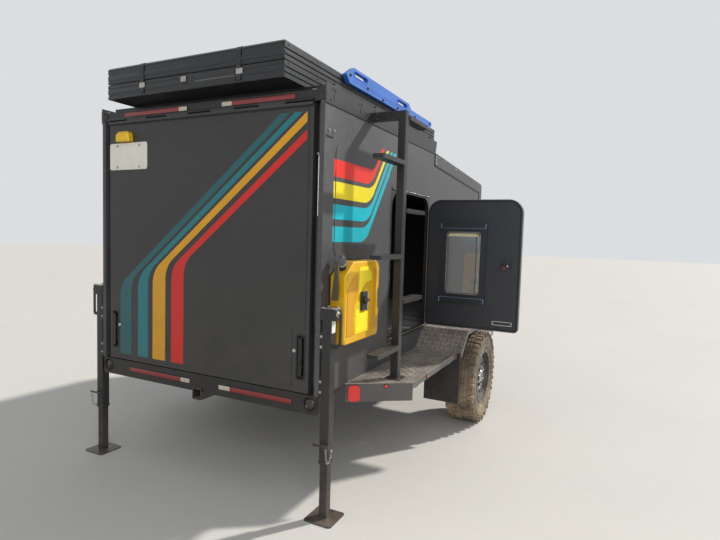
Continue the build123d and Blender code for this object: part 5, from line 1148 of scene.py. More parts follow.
def wheelTrim(sizes):
    for side, mark in ((1, "r"), (-1, "l")):
        centre = (side * tyreSizes["centre"], 0, tyreSizes["axleZ"])
        plane = onPlane(centre, (0, 1, 0), (side, 0, 0))
        ring = bmesh.new()
        low, high = sizes["ringX"]
        inner, outer = sizes["ring"]
        addLathe(ring, [(low - 0.004, inner), (high - 0.001, inner), (high, inner + 0.001),
            (high, outer - 0.0015), (high - 0.0015, outer), (low - 0.004, outer), (low - 0.004, inner)],
            plane, 96)
        setPiece("beadRing_" + mark, ring, "rim_paint", "wheel_" + mark)
        out = Matrix.Rotation(side * math.pi / 2, 4, "Y")
        boltOut = seedOf("wheelBolt_" + mark, addBolt, out, 0.0095, 0.0045)
        nut = bmesh.new()
        addPrism(nut, roundSection(0.0118, 6), 0.0, 0.0135, out, bevel=0.0015)
        addLathe(nut, [(-0.0012, 0.0148), (0.0015, 0.0148), (0.0030, 0.0120), (0.0030, 0)], out, 24)
        addLathe(nut, [(0.0130, 0.0095), (0.0165, 0.0085), (0.0185, 0.0050), (0.0190, 0)], out, 24)
        nutOut = seed("wheelNut_" + mark, nut)
        fasteners = bmesh.new()
        growInto(fasteners, "ring", "edge_bright", Piece=boltOut, Radius=sizes["boltR"],
            Count=sizes["bolts"], Centre=(centre[0] + side * high, 0, centre[2]))
        setPiece("ringBolts_" + mark, fasteners, "edge_bright", "wheel_" + mark)
        nuts = bmesh.new()
        growInto(nuts, "ring", "edge_bright", Piece=nutOut, Radius=sizes["nutR"], Count=sizes["nuts"],
            Centre=(centre[0] + side * 0.0675, 0, centre[2]))
        setPiece("wheelNuts_" + mark, nuts, "edge_bright", "wheel_" + mark)
        cap = bmesh.new()
        low, high = sizes["capX"]
        r = sizes["capR"]
        addLathe(cap, [(low - 0.008, r), (high - 0.006, r), (high - 0.002, r * 0.94), (high, r * 0.82),
            (high, r * 0.55), (high - 0.0022, r * 0.52), (high - 0.0022, r * 0.2),
            (high - 0.0010, r * 0.16), (high - 0.0010, 0)], plane, 64)
        setPiece("hubCap_" + mark, cap, "bright_steel", "wheel_" + mark)
        valve = bmesh.new()
        spot = onPlane((centre[0] + side * 0.0745, 0, centre[2] + sizes["valveR"]), (0, 1, 0),
            (side, 0, -0.35))
        addLathe(valve, [(-0.006, 0.0052), (0.012, 0.0042), (0.016, 0.0036), (0.018, 0.0045),
            (0.028, 0.0045), (0.030, 0.003), (0.030, 0)], spot, 16)
        setPiece("tyreValve_" + mark, valve, "rubber_seal", "wheel_" + mark)


wheelTrim(wheelSizes)
print("wheels done")


# Tread plate: raised bars on the platforms and over the fenders, and a bright strip on the outer edge that
# is a painted highlight of the sunlit nosing
treadSizes = {"bar": (0.0150, 0.0033, 0.0016), "pitch": 0.031, "inset": 0.016, "plateIn": 0.762,
    "plateOut": 1.062, "plateFront": -0.494, "outline": ((-1.0, 0.0), (-0.55, -0.85), (0.0, -1.0),
    (0.55, -0.85), (1.0, 0.0), (0.55, 0.85), (0.0, 1.0), (-0.55, 0.85))}


def treadPlate(sizes):
    long, wide, high = sizes["bar"]
    made = bmesh.new()
    foot, top = [[made.verts.new((x * long * shrinkX, y * wide * shrinkY, z)) for x, y in sizes["outline"]]
        for shrinkX, shrinkY, z in ((1, 1, -0.0003), (0.82, 0.5, high))]
    for i in range(8):
        made.faces.new((foot[i], foot[(i + 1) % 8], top[(i + 1) % 8], top[i]))
    made.faces.new(top)
    made.faces.new(foot[::-1])
    bar = seed("treadBar", made)
    stepZ = hitOn(surfaceOf("platforms"), (0.9, -1.0, 2), (0, 0, -1)).z
    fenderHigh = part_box("fenders")[1]
    bm, edges = newMeshes(2)
    inset, pitch = sizes["inset"], sizes["pitch"]
    inner, outer, front = sizes["plateIn"], sizes["plateOut"], sizes["plateFront"]
    for side in (1, -1):
        corners = [(inner + inset, -1.512), (outer - inset, -1.312), (outer - inset, front - inset),
            (inner + inset, front - inset)]
        sheet = bmesh.new()
        sheet.faces.new([sheet.verts.new((side * x, y, stepZ)) for x, y in corners])
        growInto(bm, "tread", "diamond_plate", Piece=bar, Sheet=seed("stepSheet", sheet), Way=(0, 0, -1),
            Slope=0.0, Centre=(side * 0.912, -1.008, stepZ + 0.2), Width=0.272, Length=1.008,
            Columns=int(0.276 / pitch) + 1, Rows=int(1.02 / pitch) + 1)
        across, along = fenderHigh.x - inner - 2 * inset, 0.94
        growInto(bm, "tread", "diamond_plate", Piece=bar, Sheet=nodes["fenders"], Way=(0, 0, -1),
            Slope=0.25, Centre=(side * (inner + fenderHigh.x) / 2, 0, fenderHigh.z + 0.1), Width=across,
            Length=along, Columns=int(across / pitch) + 1, Rows=int(along / pitch) + 1)
        # A bright strip along the step's outer edge and nose: painted highlight of the sunlit edge
        low, high = stepZ - 0.004, stepZ + 0.0006
        sideBox(edges, side, 1.0605, 1.0632, (-1.322, low), (-0.496, high), 0.0008)
        nose = [(0.764, -1.5366), (outer, -1.3270), (outer, -1.3225), (0.764, -1.532)]
        addPrism(edges, [(side * x, y) for x, y in nose], low, high)
    setPiece("treadBars", bm, "tread_bright", "trailer")
    setPiece("stepEdges", edges, "tread_bright", "trailer")


treadPlate(treadSizes)


# Marker lamps under the step edge and a clear lamp on each skirt, with their rims
markerSizes = {"spots": ((0.950, -1.4168, 0.580, (0.21, -0.30)), (1.0625, -1.100, 0.580, (1, 0)),
    (1.0625, -0.530, 0.580, (1, 0))), "radius": 0.0095, "deep": 0.006}


def markerLamps(sizes):
    red, clear, rims = newMeshes(3)
    r, deep = sizes["radius"], sizes["deep"]
    steps = surfaceOf("platforms")
    for side in (1, -1):
        for x, y, z, way in sizes["spots"]:
            way = Vector((side * way[0], way[1], 0)).normalized()
            plane = onPlane(hitOn(steps, Vector((side * x, y, z)) + way * 0.3, -way), (0, 0, 1), way)
            addLathe(rims, [(-0.001, r + 0.004), (deep * 0.5, r + 0.0035), (deep * 0.55, r), (-0.001, r)],
                plane, 24)
            addLathe(red, [(-0.001, r), (deep * 0.6, r), (deep, r * 0.6), (deep * 1.1, 0)], plane, 24)
        plane = rearFace(*hitOn(steps, (side * 0.80, -2.5, 0.542), (0, 1, 0)))
        addPrism(clear, roundRect(0.034, 0.022, 0.004), -0.002, 0.006, plane, bevel=0.002)
        addPrism(rims, roundRect(0.042, 0.030, 0.006), -0.002, 0.003, plane, bevel=0.001)
    setPiece("markerRims", rims, "rubber_seal")
    setPiece("markerRed", red, "mark_red", "trailer")
    setPiece("skirtLamps", clear, "lamp_white")


markerLamps(markerSizes)
print("steps done")


# Fuel can: raised panels and ribs on its outer face, lock knob, ribbed cap and its strap
canSizes = {"low": (-1.722, 0.838), "size": (0.386, 0.404), "raise": 0.0035, "bevel": 0.0016,
    "litPanels": (1, 3)}
canPanels = ([(0.06, 0.34), (0.20, 0.20), (0.33, 0.16), (0.33, 0.42), (0.24, 0.54), (0.24, 0.90),
    (0.06, 0.90)], [(0.38, 0.07), (0.62, 0.07), (0.74, 0.16), (0.74, 0.25), (0.56, 0.27), (0.38, 0.40)],
    [(0.79, 0.10), (0.88, 0.10), (0.94, 0.15), (0.94, 0.25), (0.885, 0.30), (0.885, 0.42), (0.94, 0.47),
    (0.94, 0.84), (0.88, 0.90), (0.72, 0.90), (0.72, 0.62), (0.79, 0.55)],
    [(0.29, 0.58), (0.37, 0.50), (0.41, 0.50), (0.41, 0.64), (0.67, 0.64), (0.67, 0.90), (0.29, 0.90)])


def ridgedRing(radius, deep, ridges):  # a ring with ridges that stand deep over its radius
    spots = enumerate(roundSection(1.0, 2 * ridges))
    return [((radius + deep * (i % 2)) * x, (radius + deep * (i % 2)) * y) for i, (x, y) in spots]


def fuelCan(sizes):
    panels, deep, lock = newMeshes(3)
    plane = sideFace(1, hitOn(surfaceOf("fuel_can"), (2, -1.45, 0.95), (-1, 0, 0)).x, 0, 0)
    wide, tall = sizes["size"]
    y0, z1 = sizes["low"][0], sizes["low"][1] + tall
    # The listed panels and the ribs take the lighter yellow, the rest the darker one, though all lie on one
    # face: painted highlight and painted shade
    for number, outline in enumerate(canPanels):
        points = [(y0 + u * wide, z1 - v * tall) for u, v in outline]
        addPrism(panels if number in sizes["litPanels"] else deep, points[::-1], -0.0006, sizes["raise"],
            plane, bevel=sizes["bevel"])
    setPiece("canSidePanels", deep, "can_amber", "trailer")
    for i in range(8):
        z = z1 - (0.665 + i * 0.028) * tall
        addPrism(panels, [(y + y0 + 0.48 * wide, z + h) for y, h in roundRect(0.128, 0.0052, 0.0025, 3)],
            sizes["raise"] - 0.0005, sizes["raise"] + 0.002, plane, bevel=0.0009)
    setPiece("canPanels", panels, "can_bright", "trailer")
    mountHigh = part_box("fuel_can_mount")[1]
    lockPlane = sideFace(1, mountHigh.x, -1.529, 1.040) @ Matrix.Translation((-0.008, 0.006, 0))
    addPrism(lock, ridgedRing(0.0185, 0.0016, 18), -0.0005, 0.012, lockPlane, bevel=0.0015)
    addPrism(lock, roundRect(0.050, 0.011, 0.004), 0.010, 0.019, lockPlane, bevel=0.002)
    setPiece("canLock", lock, "rubber_seal", "trailer")
    edge = bmesh.new()
    addBox(edge, (mountHigh.x - 0.010, -1.529 + 0.0292, 0.996),
        (mountHigh.x + 0.0012, -1.529 + 0.0312, 1.084), 0.0006)
    setPiece("canLockEdge", edge, "sticker_white")
    start, stop = Vector((0.810, -1.676, 1.208)), Vector((0.810, -1.716, 1.260))
    way = (stop - start).normalized()
    capPlane = onPlane(stop - way * 0.030, (1, 0, 0), way)
    cap = bmesh.new()
    addPrism(cap, ridgedRing(0.0272, 0.0022, 28), 0.002, 0.0315, capPlane, bevel=0.002)
    addLathe(cap, [(0.030, 0.0225), (0.0345, 0.0205), (0.0345, 0.0130), (0.0318, 0.0120), (0.0318, 0)],
        capPlane, 32)
    setPiece("canCap", cap, "cap_grey")
    ring = bmesh.new()
    addLathe(ring, [(-0.0035, 0.0275), (-0.0035, 0.0312), (-0.0005, 0.0312), (0.0012, 0.0290),
        (0.0012, 0.0275), (-0.0035, 0.0275)], capPlane, 40)
    setPiece("canCapRing", ring, "edge_bright")
    path = smoothPath([(0.812, -1.706, 1.232), (0.812, -1.738, 1.226), (0.8155, -1.7475, 1.190),
        (0.816, -1.750, 1.150), (0.815, -1.753, 1.100), (0.812, -1.756, 1.060)], 6)
    count = len(path)
    strap = bmesh.new()
    outline = ((-1, -0.3), (-0.8, -0.7), (0, -1), (0.8, -0.7), (1, -0.3), (1, 0.3), (0.8, 0.7), (0, 1),
        (-0.8, 0.7), (-1, 0.3))
    rings = []
    for i, spot in enumerate(path):
        share = i / (count - 1)
        half = 0.006 + 0.015 * share
        thick = 0.0045 + 0.006 * math.sin(math.pi * min(1.0, share * 1.05))
        before, after = path[max(i - 1, 0)], path[min(i + 1, count - 1)]
        along = (after - before).normalized()
        out = Vector((1, 0, 0)).cross(along).normalized()
        rings.append([strap.verts.new(spot + Vector((1, 0, 0)) * a * half + out * b * thick) for a,
            b in outline])
    closeRings(strap, rings)
    setPiece("canStrap", strap, "tether_web", "trailer", smooth=60)


fuelCan(canSizes)


# Corner jacks: label, band and caps on the gear boxes, pin clip, chain and leg holes
jackSizes = {"x": 0.797, "y": -1.775, "half": 0.025, "top": 1.026, "sticker": (0.908, 0.969), "pinZ": 0.372,
    "holes": (0.105, 0.265, 5), "leg": 0.021}


def jackTrim(sizes):
    bright, labels, bands, chains = newMeshes(4)
    loop = smoothPath([(0, -0.0025, -0.0072), (0, 0.0025, -0.0072), (0, 0.0038, -0.003), (0, 0.0038, 0.003),
        (0, 0.0025, 0.0072), (0, -0.0025, 0.0072), (0, -0.0038, 0.003), (0, -0.0038, -0.003)], 2, True)
    link = seedOf("chainLink", addSweep, loop, roundSection(0.0011, 6), True, (1, 0, 0))
    boxes = surfaceOf("jack_housings")
    for side in (1, -1):
        x, y = side * sizes["x"], sizes["y"]
        half, top = sizes["half"], sizes["top"]
        # A bright plate over each gear box top: painted highlight of its lit top
        sideBox(bright, side, 0.7665, 0.8435, (y - 0.034, top - 0.0008), (y + 0.034, top + 0.0022), 0.0008)
        for dx in (-0.026, 0.026):
            for dy in (-0.024, 0.024):
                addBolt(bright, topFace(x + side * 0.008 + dx, y + dy, top + 0.0016), 0.010, 0.0055)
        faceX = hitOn(boxes, (side * 2, y + 0.020, top - 0.014), (-side, 0, 0)).x
        addLathe(bright, [(-0.002, 0.016), (0.003, 0.016), (0.0045, 0.0135), (0.0045, 0.0105),
            (0.009, 0.010), (0.0105, 0.008), (0.0105, 0)], onPlane((faceX, y - 0.008, top - 0.028),
            (0, 1, 0), (side, 0, 0)), 32)
        tubeX = sizes["x"] + half
        low, high = sizes["sticker"]
        addPrism(labels, roundRect(0.034, high - low, 0.003), -0.0004, 0.0005,
            sideFace(side, tubeX, y, (low + high) / 2))
        for z in (0.974, 0.282):
            outline = roundRect(2 * half + 0.005, 2 * half + 0.005, 0.005)
            addPrism(bands, outline, z - 0.004, z + 0.004, Matrix.Translation((x, y, 0)), bevel=0.001,
                holes=[roundRect(2 * half - 0.001, 2 * half - 0.001, 0.003)])
        pin = sizes["pinZ"]
        front = y - half
        ring, hang = [[(x + side * out, front + back, pin - down) for out, back, down in spots] for spots
            in (((0.030, -0.027, 0), (0.036, -0.030, 0.012), (0.030, -0.030, 0.024),
            (0.024, -0.028, 0.012)), ((0.030, -0.029, 0.024), (0.031, -0.024, 0.062),
            (0.030, -0.010, 0.086), (0.028, half * 0.6, 0.072), (0.0262, half + 0.004, 0.040)))]
        addSweep(bright, smoothPath(ring, 6, True), roundSection(0.0012, 6), closed=True, up=(1, 0, 0))
        curve = bpy.data.curves.new("chainPath", "CURVE")
        curve.dimensions = "3D"
        spline = curve.splines.new("POLY")
        hang = smoothPath(hang, 6)
        spline.points.add(len(hang) - 1)
        for point, spot in zip(spline.points, hang):
            point.co = (*spot, 1)
        path = newObject("chainPath", curve)
        path.hide_render = True
        seeds.append(path)
        growInto(chains, "chain", "edge_bright", Piece=link, Path=path, Pitch=0.0118)
        addBolt(bright, sideFace(side, tubeX, y + 0.004, pin - 0.040), 0.010, 0.006)
        for z in (0.622, 0.672, 0.840, 0.890):
            addBolt(bright, rearFace(side * 0.7705, y - 0.0245, z), 0.010, 0.005)
    setPiece("jackBright", bright, "edge_bright")
    setPiece("jackLabels", labels, "sticker_white")
    setPiece("jackBands", bands, "coated_black", "trailer")
    setPiece("jackChains", chains, "edge_bright")
    holeSeed = seedOf("legHole", addLathe, [(-0.0004, 0.0085), (0.0004, 0.0085), (0.0004, 0.0068),
        (-0.0004, 0.0062), (-0.0004, 0)], None, 16)
    low, high, count = sizes["holes"]
    for side, mark in ((1, "r"), (-1, "l")):
        holes = bmesh.new()
        x, y, half = side * sizes["x"], sizes["y"], sizes["leg"]
        rowOf(holes, holeSeed, (x, y - half, low), (x, y - half, high), count)
        rowOf(holes, holeSeed, (x + side * half, y, low), (x + side * half, y, high), count, side)
        setPiece("legHoles_" + mark, holes, "rubber_seal", "leg_" + mark)


jackTrim(jackSizes)


# Ladder: grip strips on the steps, bolts at the arm
ladderSizes = {"first": 0.785, "pitch": 0.246, "count": 5, "post": (0.947, -1.298),
    "strips": (0.06, 0.10, 0.14, 0.18, 0.22, 0.26)}


def ladderTrim(sizes):
    strips, bolts = newMeshes(2)
    steps = surfaceOf("ladder")
    postX, postY = sizes["post"]
    for i in range(sizes["count"]):
        top = sizes["first"] + i * sizes["pitch"]
        way = -1 if i % 2 == 0 else 1
        for reach in sizes["strips"]:
            found = hitOn(steps, (postX, postY + way * reach, top + 0.05), (0, 0, -1))
            if found is not None and abs(found.z - top) < 0.02:
                addPrism(strips, roundRect(0.050, 0.009, 0.003), -0.0004, 0.0016, topFace(*found),
                    bevel=0.0006)
    for z in (1.999, 2.025):
        for x in (0.800, 0.860):
            addBolt(bolts, rearFace(x, postY - 0.022, z), 0.009, 0.005)
    setPiece("ladderStrips", strips, "coated_black", "trailer")
    setPiece("ladderBolts", bolts, "coated_black", "trailer")


ladderTrim(ladderSizes)
print("can, jacks and ladder done")


def roundBox(low, high, slack, radius, steps, z):  # a level ring round a box
    outline = roundRect(high.x - low.x - slack, high.y - low.y - slack, radius, steps)
    return [((low.x + high.x) / 2 + x, (low.y + high.y) / 2 + y, z) for x, y in outline]


# Soft pieces: a closed pad is swollen by a cloth run, capped, kept in its space and smoothed
def padMesh(low, high, radius, voxel, cap, ripple=None):
    bm = bmesh.new()
    addBox(bm, [c + 0.006 for c in low], [c - 0.006 for c in high], radius)
    rough = bpy.data.meshes.new("padStart")
    bm.to_mesh(rough)
    bm.free()
    obj = newObject("padStart", rough)
    remesh = obj.modifiers.new("remesh", "REMESH")
    remesh.mode = "VOXEL"
    remesh.voxel_size = voxel
    even = evaluatedMesh(obj)
    obj.modifiers.remove(remesh)
    obj.data = even
    rest = [v.co.copy() for v in even.vertices]
    found = even
    cloth = obj.modifiers.new("cloth", "CLOTH")
    cloth.settings.use_pressure = True
    cloth.settings.uniform_pressure_force = 4
    cloth.settings.quality = 4
    cloth.settings.effector_weights.gravity = 0
    cloth.point_cache.frame_start, cloth.point_cache.frame_end = 1, 20
    for step in range(1, 21):
        scene.frame_set(step)
    found = evaluatedMesh(obj)
    scene.frame_set(1)
    bpy.data.objects.remove(obj)
    for vertex, start in zip(found.vertices, rest):
        moved = vertex.co - start
        if moved.length > cap:
            moved *= cap / moved.length
        spot = start + moved
        if ripple:
            spot.z += ripple(spot)
        vertex.co = [min(max(c, a), b) for c, a, b in zip(spot, low, high)]
    holder = newObject("padHolder", found)
    smooth = holder.modifiers.new("smooth", "SUBSURF")
    smooth.levels = smooth.render_levels = 1
    result = evaluatedMesh(holder)
    bpy.data.objects.remove(holder)
    for face in result.polygons:
        face.use_smooth = True
    return result


mattressSizes = {"radius": 0.028, "voxel": 0.020, "cap": 0.010, "channels": 9, "dip": 0.011, "half": 0.011,
    "piping": 0.0032, "seam": 0.0016}


def mattressPad(sizes):
    low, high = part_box("mattress")
    count = sizes["channels"]
    channels = [low.y + (high.y - low.y) * (i + 1) / (count + 1) for i in range(count)]

    def sewn(spot):  # sewn channels across the top, deepest at the seam
        if spot.z < (low.z + high.z) / 2:
            return 0.0
        near = min(abs(spot.y - y) for y in channels)
        edge = min(high.x - abs(spot.x), 0.08) / 0.08
        return -sizes["dip"] * math.exp(-(near / sizes["half"]) ** 2) * edge

    mesh = padMesh(low, high, sizes["radius"], sizes["voxel"], sizes["cap"], sewn)
    pad = setPiece("mattressPad", mesh, "mattress_cloth", "trailer")
    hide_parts("mattress")
    piping = bmesh.new()
    for z in (low.z + 0.020, high.z - 0.020):
        addSweep(piping, roundBox(low, high, 0.002, 0.05, 8, z), roundSection(sizes["piping"], 8),
            closed=True)
    for y in channels:
        path = smoothPath([(x, y, high.z - down) for x, down in (
            (low.x + 0.05, 0.012), (low.x + 0.2, 0.0135), (0, 0.0135), (high.x - 0.2, 0.0135),
            (high.x - 0.05, 0.012))], 4)
        addSweep(piping, path, roundSection(sizes["seam"], 6))
    setPiece("mattressPiping", piping, "strap_web", "trailer")


mattressPad(mattressSizes)
print("mattress done")


beddingSizes = {"radius": 0.022, "voxel": 0.022, "cap": 0.012, "fold": 0.0045, "pitch": 0.115, "lean": 0.35}


def tentPad(sizes):
    low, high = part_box("tent_bedding")

    def folds(spot):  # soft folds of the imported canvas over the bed
        if spot.z < (low.z + high.z) / 2:
            return 0.0
        along = spot.y + sizes["lean"] * spot.x + 0.03 * math.sin(spot.x * 7)
        return sizes["fold"] * (math.sin(2 * math.pi * along / sizes["pitch"]) + 0.5
            * math.sin(2 * math.pi * along / (sizes["pitch"] * 0.43) + 1.3)) - sizes["fold"]

    mesh = padMesh(low, high, sizes["radius"], sizes["voxel"], sizes["cap"], folds)
    pad = setPiece("tentBedding", mesh, "tent_cloth", "trailer")
    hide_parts("tent_bedding")
    seams = bmesh.new()
    for z in (low.z + 0.045, low.z + 0.090):
        addSweep(seams, roundBox(low, high, 0.001, 0.03, 6, z), roundSection(0.0025, 6), closed=True)
    setPiece("beddingSeams", seams, "strap_web", "trailer")


tentPad(beddingSizes)
print("bedding done")


# Side doors: seals, window rims, blinds, rail bits in a pale bluish painted sky reflection, handles, locks
# and the blank label frame
doorSizes = {"middle": (1.102, 1.195), "size": (0.655, 0.890), "corner": 0.095, "lowCorner": 0.028,
    "inner": -0.3605, "outer": -0.3305, "window": (1.0395, 1.202, 0.230, 0.424), "frameY": -0.3725,
    "glassY": -0.3455, "handle": (1.3325, 1.204), "label": (1.322, 0.806, 0.130, 0.026)}


# a plane on the inner and on the outer face, local x away from the hinge, for each leaf at rest
def doorPlanes(mark):
    if mark == "r":
        return (lambda across, up, out=0.0: onPlane((across, doorSizes["inner"] - out, up), (1, 0, 0),
            (0, -1, 0)), lambda across, up, out=0.0: onPlane((across, doorSizes["outer"] + out, up),
            (-1, 0, 0), (0, 1, 0)))
    leafLow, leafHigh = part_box("door_l")
    innerX, outerX = leafHigh.x, leafLow.x
    start = doorSizes["middle"][0] - doorSizes["size"][0] / 2

    def spotY(across):
        return leafHigh.y - (across - start)
    return (lambda across, up, out=0.0: onPlane((innerX + out, spotY(across), up), (0, -1, 0), (1, 0, 0)),
        lambda across, up, out=0.0: onPlane((outerX - out, spotY(across), up), (0, 1, 0), (-1, 0, 0)))


def leafOutline(sizes, inset):  # the leaf's own outline: wide corners at the top, tight ones below
    wide, tall = sizes["size"][0] / 2 - inset, sizes["size"][1] / 2 - inset
    points = []
    for cx, cy, start in ((1, 1, 0), (-1, 1, 90), (-1, -1, 180), (1, -1, 270)):
        radius = max((sizes["corner"] if cy > 0 else sizes["lowCorner"]) - inset, 0.004)
        for step in range(11):
            angle = math.radians(start + 9 * step)
            points.append((cx * (wide - radius) + radius * math.cos(angle),
                cy * (tall - radius) + radius * math.sin(angle)))
    return points


def doorTrim(sizes, mark, body):
    inner, outer = doorPlanes(mark)
    across, up = sizes["middle"]
    bright, seals, blinds, locks, pale, screws, marks, white = newMeshes(8)
    face = inner(across, up)
    addPrism(bright, leafOutline(sizes, 0.0003), -0.0014, 0.0007, face, bevel=0.0005,
        holes=[leafOutline(sizes, 0.0026)])
    addPrism(seals, leafOutline(sizes, 0.010), -0.0005, 0.0030, face, bevel=0.0012,
        holes=[leafOutline(sizes, 0.018)])
    winX, winZ, winW, winH = sizes["window"]
    frontOut = sizes["inner"] - sizes["frameY"]
    addPrism(bright, roundRect(winW + 0.006, winH + 0.006, 0.022), frontOut - 0.001, frontOut + 0.0012,
        inner(winX, winZ), bevel=0.0006, holes=[roundRect(winW - 0.001, winH - 0.001, 0.019)])
    addPrism(seals, roundRect(winW + 0.046, winH + 0.046, 0.045), -0.0005, 0.0038, outer(winX, winZ),
        bevel=0.0014, holes=[roundRect(winW - 0.002, winH - 0.002, 0.024)])
    glassOut = sizes["inner"] - sizes["glassY"]
    addPrism(blinds, roundRect(winW - 0.004, 0.025, 0.003), glassOut + 0.0045, glassOut + 0.0085,
        inner(winX, winZ + winH / 2 - 0.015), bevel=0.001)
    # The rails and their ends are real parts; their pale bluish colour is a painted sky reflection
    for dz in (-1, 1):
        for dx in (-1, 1):
            addPrism(pale, roundRect(0.007, 0.036, 0.002), -0.0003, 0.0012,
                inner(winX + dx * 0.1555, winZ + dz * 0.2555, 0.0258), bevel=0.0006)
        addPrism(pale, roundRect(0.300, 0.0028, 0.0012), -0.0003, 0.0010,
            inner(winX, winZ + dz * 0.2390, 0.0258))
    hx, hz = sizes["handle"]
    addPrism(locks, roundRect(0.046, 0.030, 0.006), -0.0005, 0.0070, inner(hx, hz, 0.0120), bevel=0.002)
    addPrism(locks, roundRect(0.050, 0.013, 0.005), 0.004, 0.0150, inner(hx - 0.002, hz + 0.006, 0.0120),
        bevel=0.003)
    addPrism(locks, roundRect(0.060, 0.064, 0.010), -0.0005, 0.0040, outer(hx, hz, 0.0100), bevel=0.0015,
        holes=[roundRect(0.046, 0.030, 0.006)])
    addPrism(locks, roundRect(0.044, 0.026, 0.006), -0.0005, 0.0085, outer(hx, hz + 0.002, 0.0100),
        bevel=0.003)
    addLathe(screws, [(-0.001, 0.0085), (0.0050, 0.0085), (0.0060, 0.0070), (0.0042, 0.0055), (0.0042, 0)],
        outer(hx, hz - 0.024, 0.0100), 24)
    # The red mark takes the marker-lens finish, which glows: painted light on a part that is no lamp
    addPrism(marks, roundRect(0.007, 0.016, 0.002), -0.0003, 0.0030, inner(hx - 0.010, hz - 0.022, 0.0120),
        bevel=0.001)
    addPrism(white, roundRect(0.006, 0.018, 0.0015), -0.0003, 0.0020, inner(hx + 0.014, hz - 0.004, 0.0190),
        bevel=0.0006)
    lx, lz, lw, lh = sizes["label"]
    addPrism(white, roundRect(lw, lh, 0.003), -0.0003, 0.0007, inner(lx, lz), bevel=0.0003,
        holes=[roundRect(lw - 0.005, lh - 0.005, 0.002)])
    for dx in (-1, 1):
        addScrew(screws, inner(lx + dx * (lw / 2 - 0.008), lz, 0.0), 0.0028, 0.0014)
    setPiece("doorBright_" + mark, bright, "edge_bright", body)
    setPiece("doorSeals_" + mark, seals, "rubber_seal", body)
    setPiece("doorBlinds_" + mark, blinds, "cream_blind", body)
    setPiece("doorBlindEnds_" + mark, pale, "blind_pale", body)
    setPiece("doorScrews_" + mark, screws, "edge_bright", body)
    setPiece("doorLocks_" + mark, locks, "chrome_trim", body)
    setPiece("doorMarks_" + mark, marks, "mark_red", body)
    setPiece("doorLabels_" + mark, white, "sticker_white", body)


doorTrim(doorSizes, "r", "door_right")
doorTrim(doorSizes, "l", "door_left")
print("doors done")


# Side walls: rain trim over the doorway, sill, gasket lines, corner bolts and screws
wallSizes = {"gasket": (0.014, 0.0022), "slope": 0.0643, "sill": (-0.975, -0.330, 0.7425),
    "rain": (-0.985, -0.320, 1.6585), "bandLow": ((-0.222, 1.984), (-0.222, 1.902), (1.112, 1.816),
    (1.112, 0.640))}


def wallTrim(sizes):
    rubber, bright, screws, rain = newMeshes(4)
    for side, mark in ((1, "r"), (-1, "l")):
        wall = surfaceOf("side_wall_" + mark)

        def wallAt(y, z):
            found = hitOn(wall, (side * 2, y, z), (-side, 0, 0))
            return abs(found.x) if found is not None else wallX

        wide, thick = sizes["gasket"]
        for (y0, z0), (y1, z1) in zip(sizes["bandLow"], sizes["bandLow"][1:]):
            out = wallAt((y0 + y1) / 2 - 0.012, (z0 + z1) / 2 - 0.012)
            middle = sideFace(side, out, (y0 + y1) / 2, (z0 + z1) / 2)
            length = math.hypot(y1 - y0, z1 - z0)
            turn = Matrix.Rotation(math.atan2(z1 - z0, (y1 - y0) * side), 4, "Z")
            addPrism(rubber, roundRect(length + wide, wide, 0.003, 3), -0.0006, thick + 0.0022,
                middle @ turn, bevel=0.001)
        addPrism(rubber, roundRect(0.065, 0.011, 0.004), -0.0006, 0.0030,
            sideFace(side, wallAt(-1.752, 1.833), -1.752, 1.833), bevel=0.001)
        for y, z in ((-1.762, 1.859), (-1.715, 1.863)):
            addBolt(bright, sideFace(side, wallAt(y, z), y, z), 0.012, 0.006)
        for k in range(4):
            share = (k + 0.5) / 4
            addScrew(bright, sideFace(side, wallAt(-0.2, 1.97 - share * 0.06), -0.200,
                1.972 - share * 0.07), 0.0035, 0.0018)
        under = [(y, 1.970 - sizes["slope"] * (y + 0.23)) for y in [-0.15 + k * 0.155 for k in range(9)]]
        for y, z in under + [(1.156, 0.70 + k * 0.17) for k in range(7)]:
            addScrew(bright, sideFace(side, wallAt(y, z), y, z), 0.0040, 0.0020)
        low, high, z = sizes["sill"]
        sideBox(bright, side, 0.7615, 0.7690, (low, z - 0.0035), (high, z + 0.0015), 0.001)
        low, high, z = sizes["rain"]
        sideBox(rain, side, 0.7615, 0.7685, (low, z - 0.003), (high, z + 0.004), 0.0012)
        ends = [(side * 0.7685, y, z + 0.0005) for y in (low + 0.012, high - 0.012)]
        rowOf(screws, screwSeed, *ends, 26, side)
        for z in (0.884, 0.928, 1.344, 1.388):
            addScrew(screws, sideFace(side, 0.7625, -0.300, z), 0.0035, 0.0022)
    setPiece("wallGaskets", rubber, "rubber_seal")
    setPiece("wallBright", bright, "edge_bright")
    setPiece("rainTrim", rain, "coated_black", "trailer")
    setPiece("wallScrews", screws, "edge_bright")


wallTrim(wallSizes)
print("walls done")


# Galley behind the hatch: ply fronts with finger holes, edge lip and a light strip
galleySizes = {"fronts": ((-0.700, -0.012), (0.012, 0.700)), "low": 0.642, "high": 0.972, "deep": 0.012,
    "hole": 0.016, "gap": 0.003}


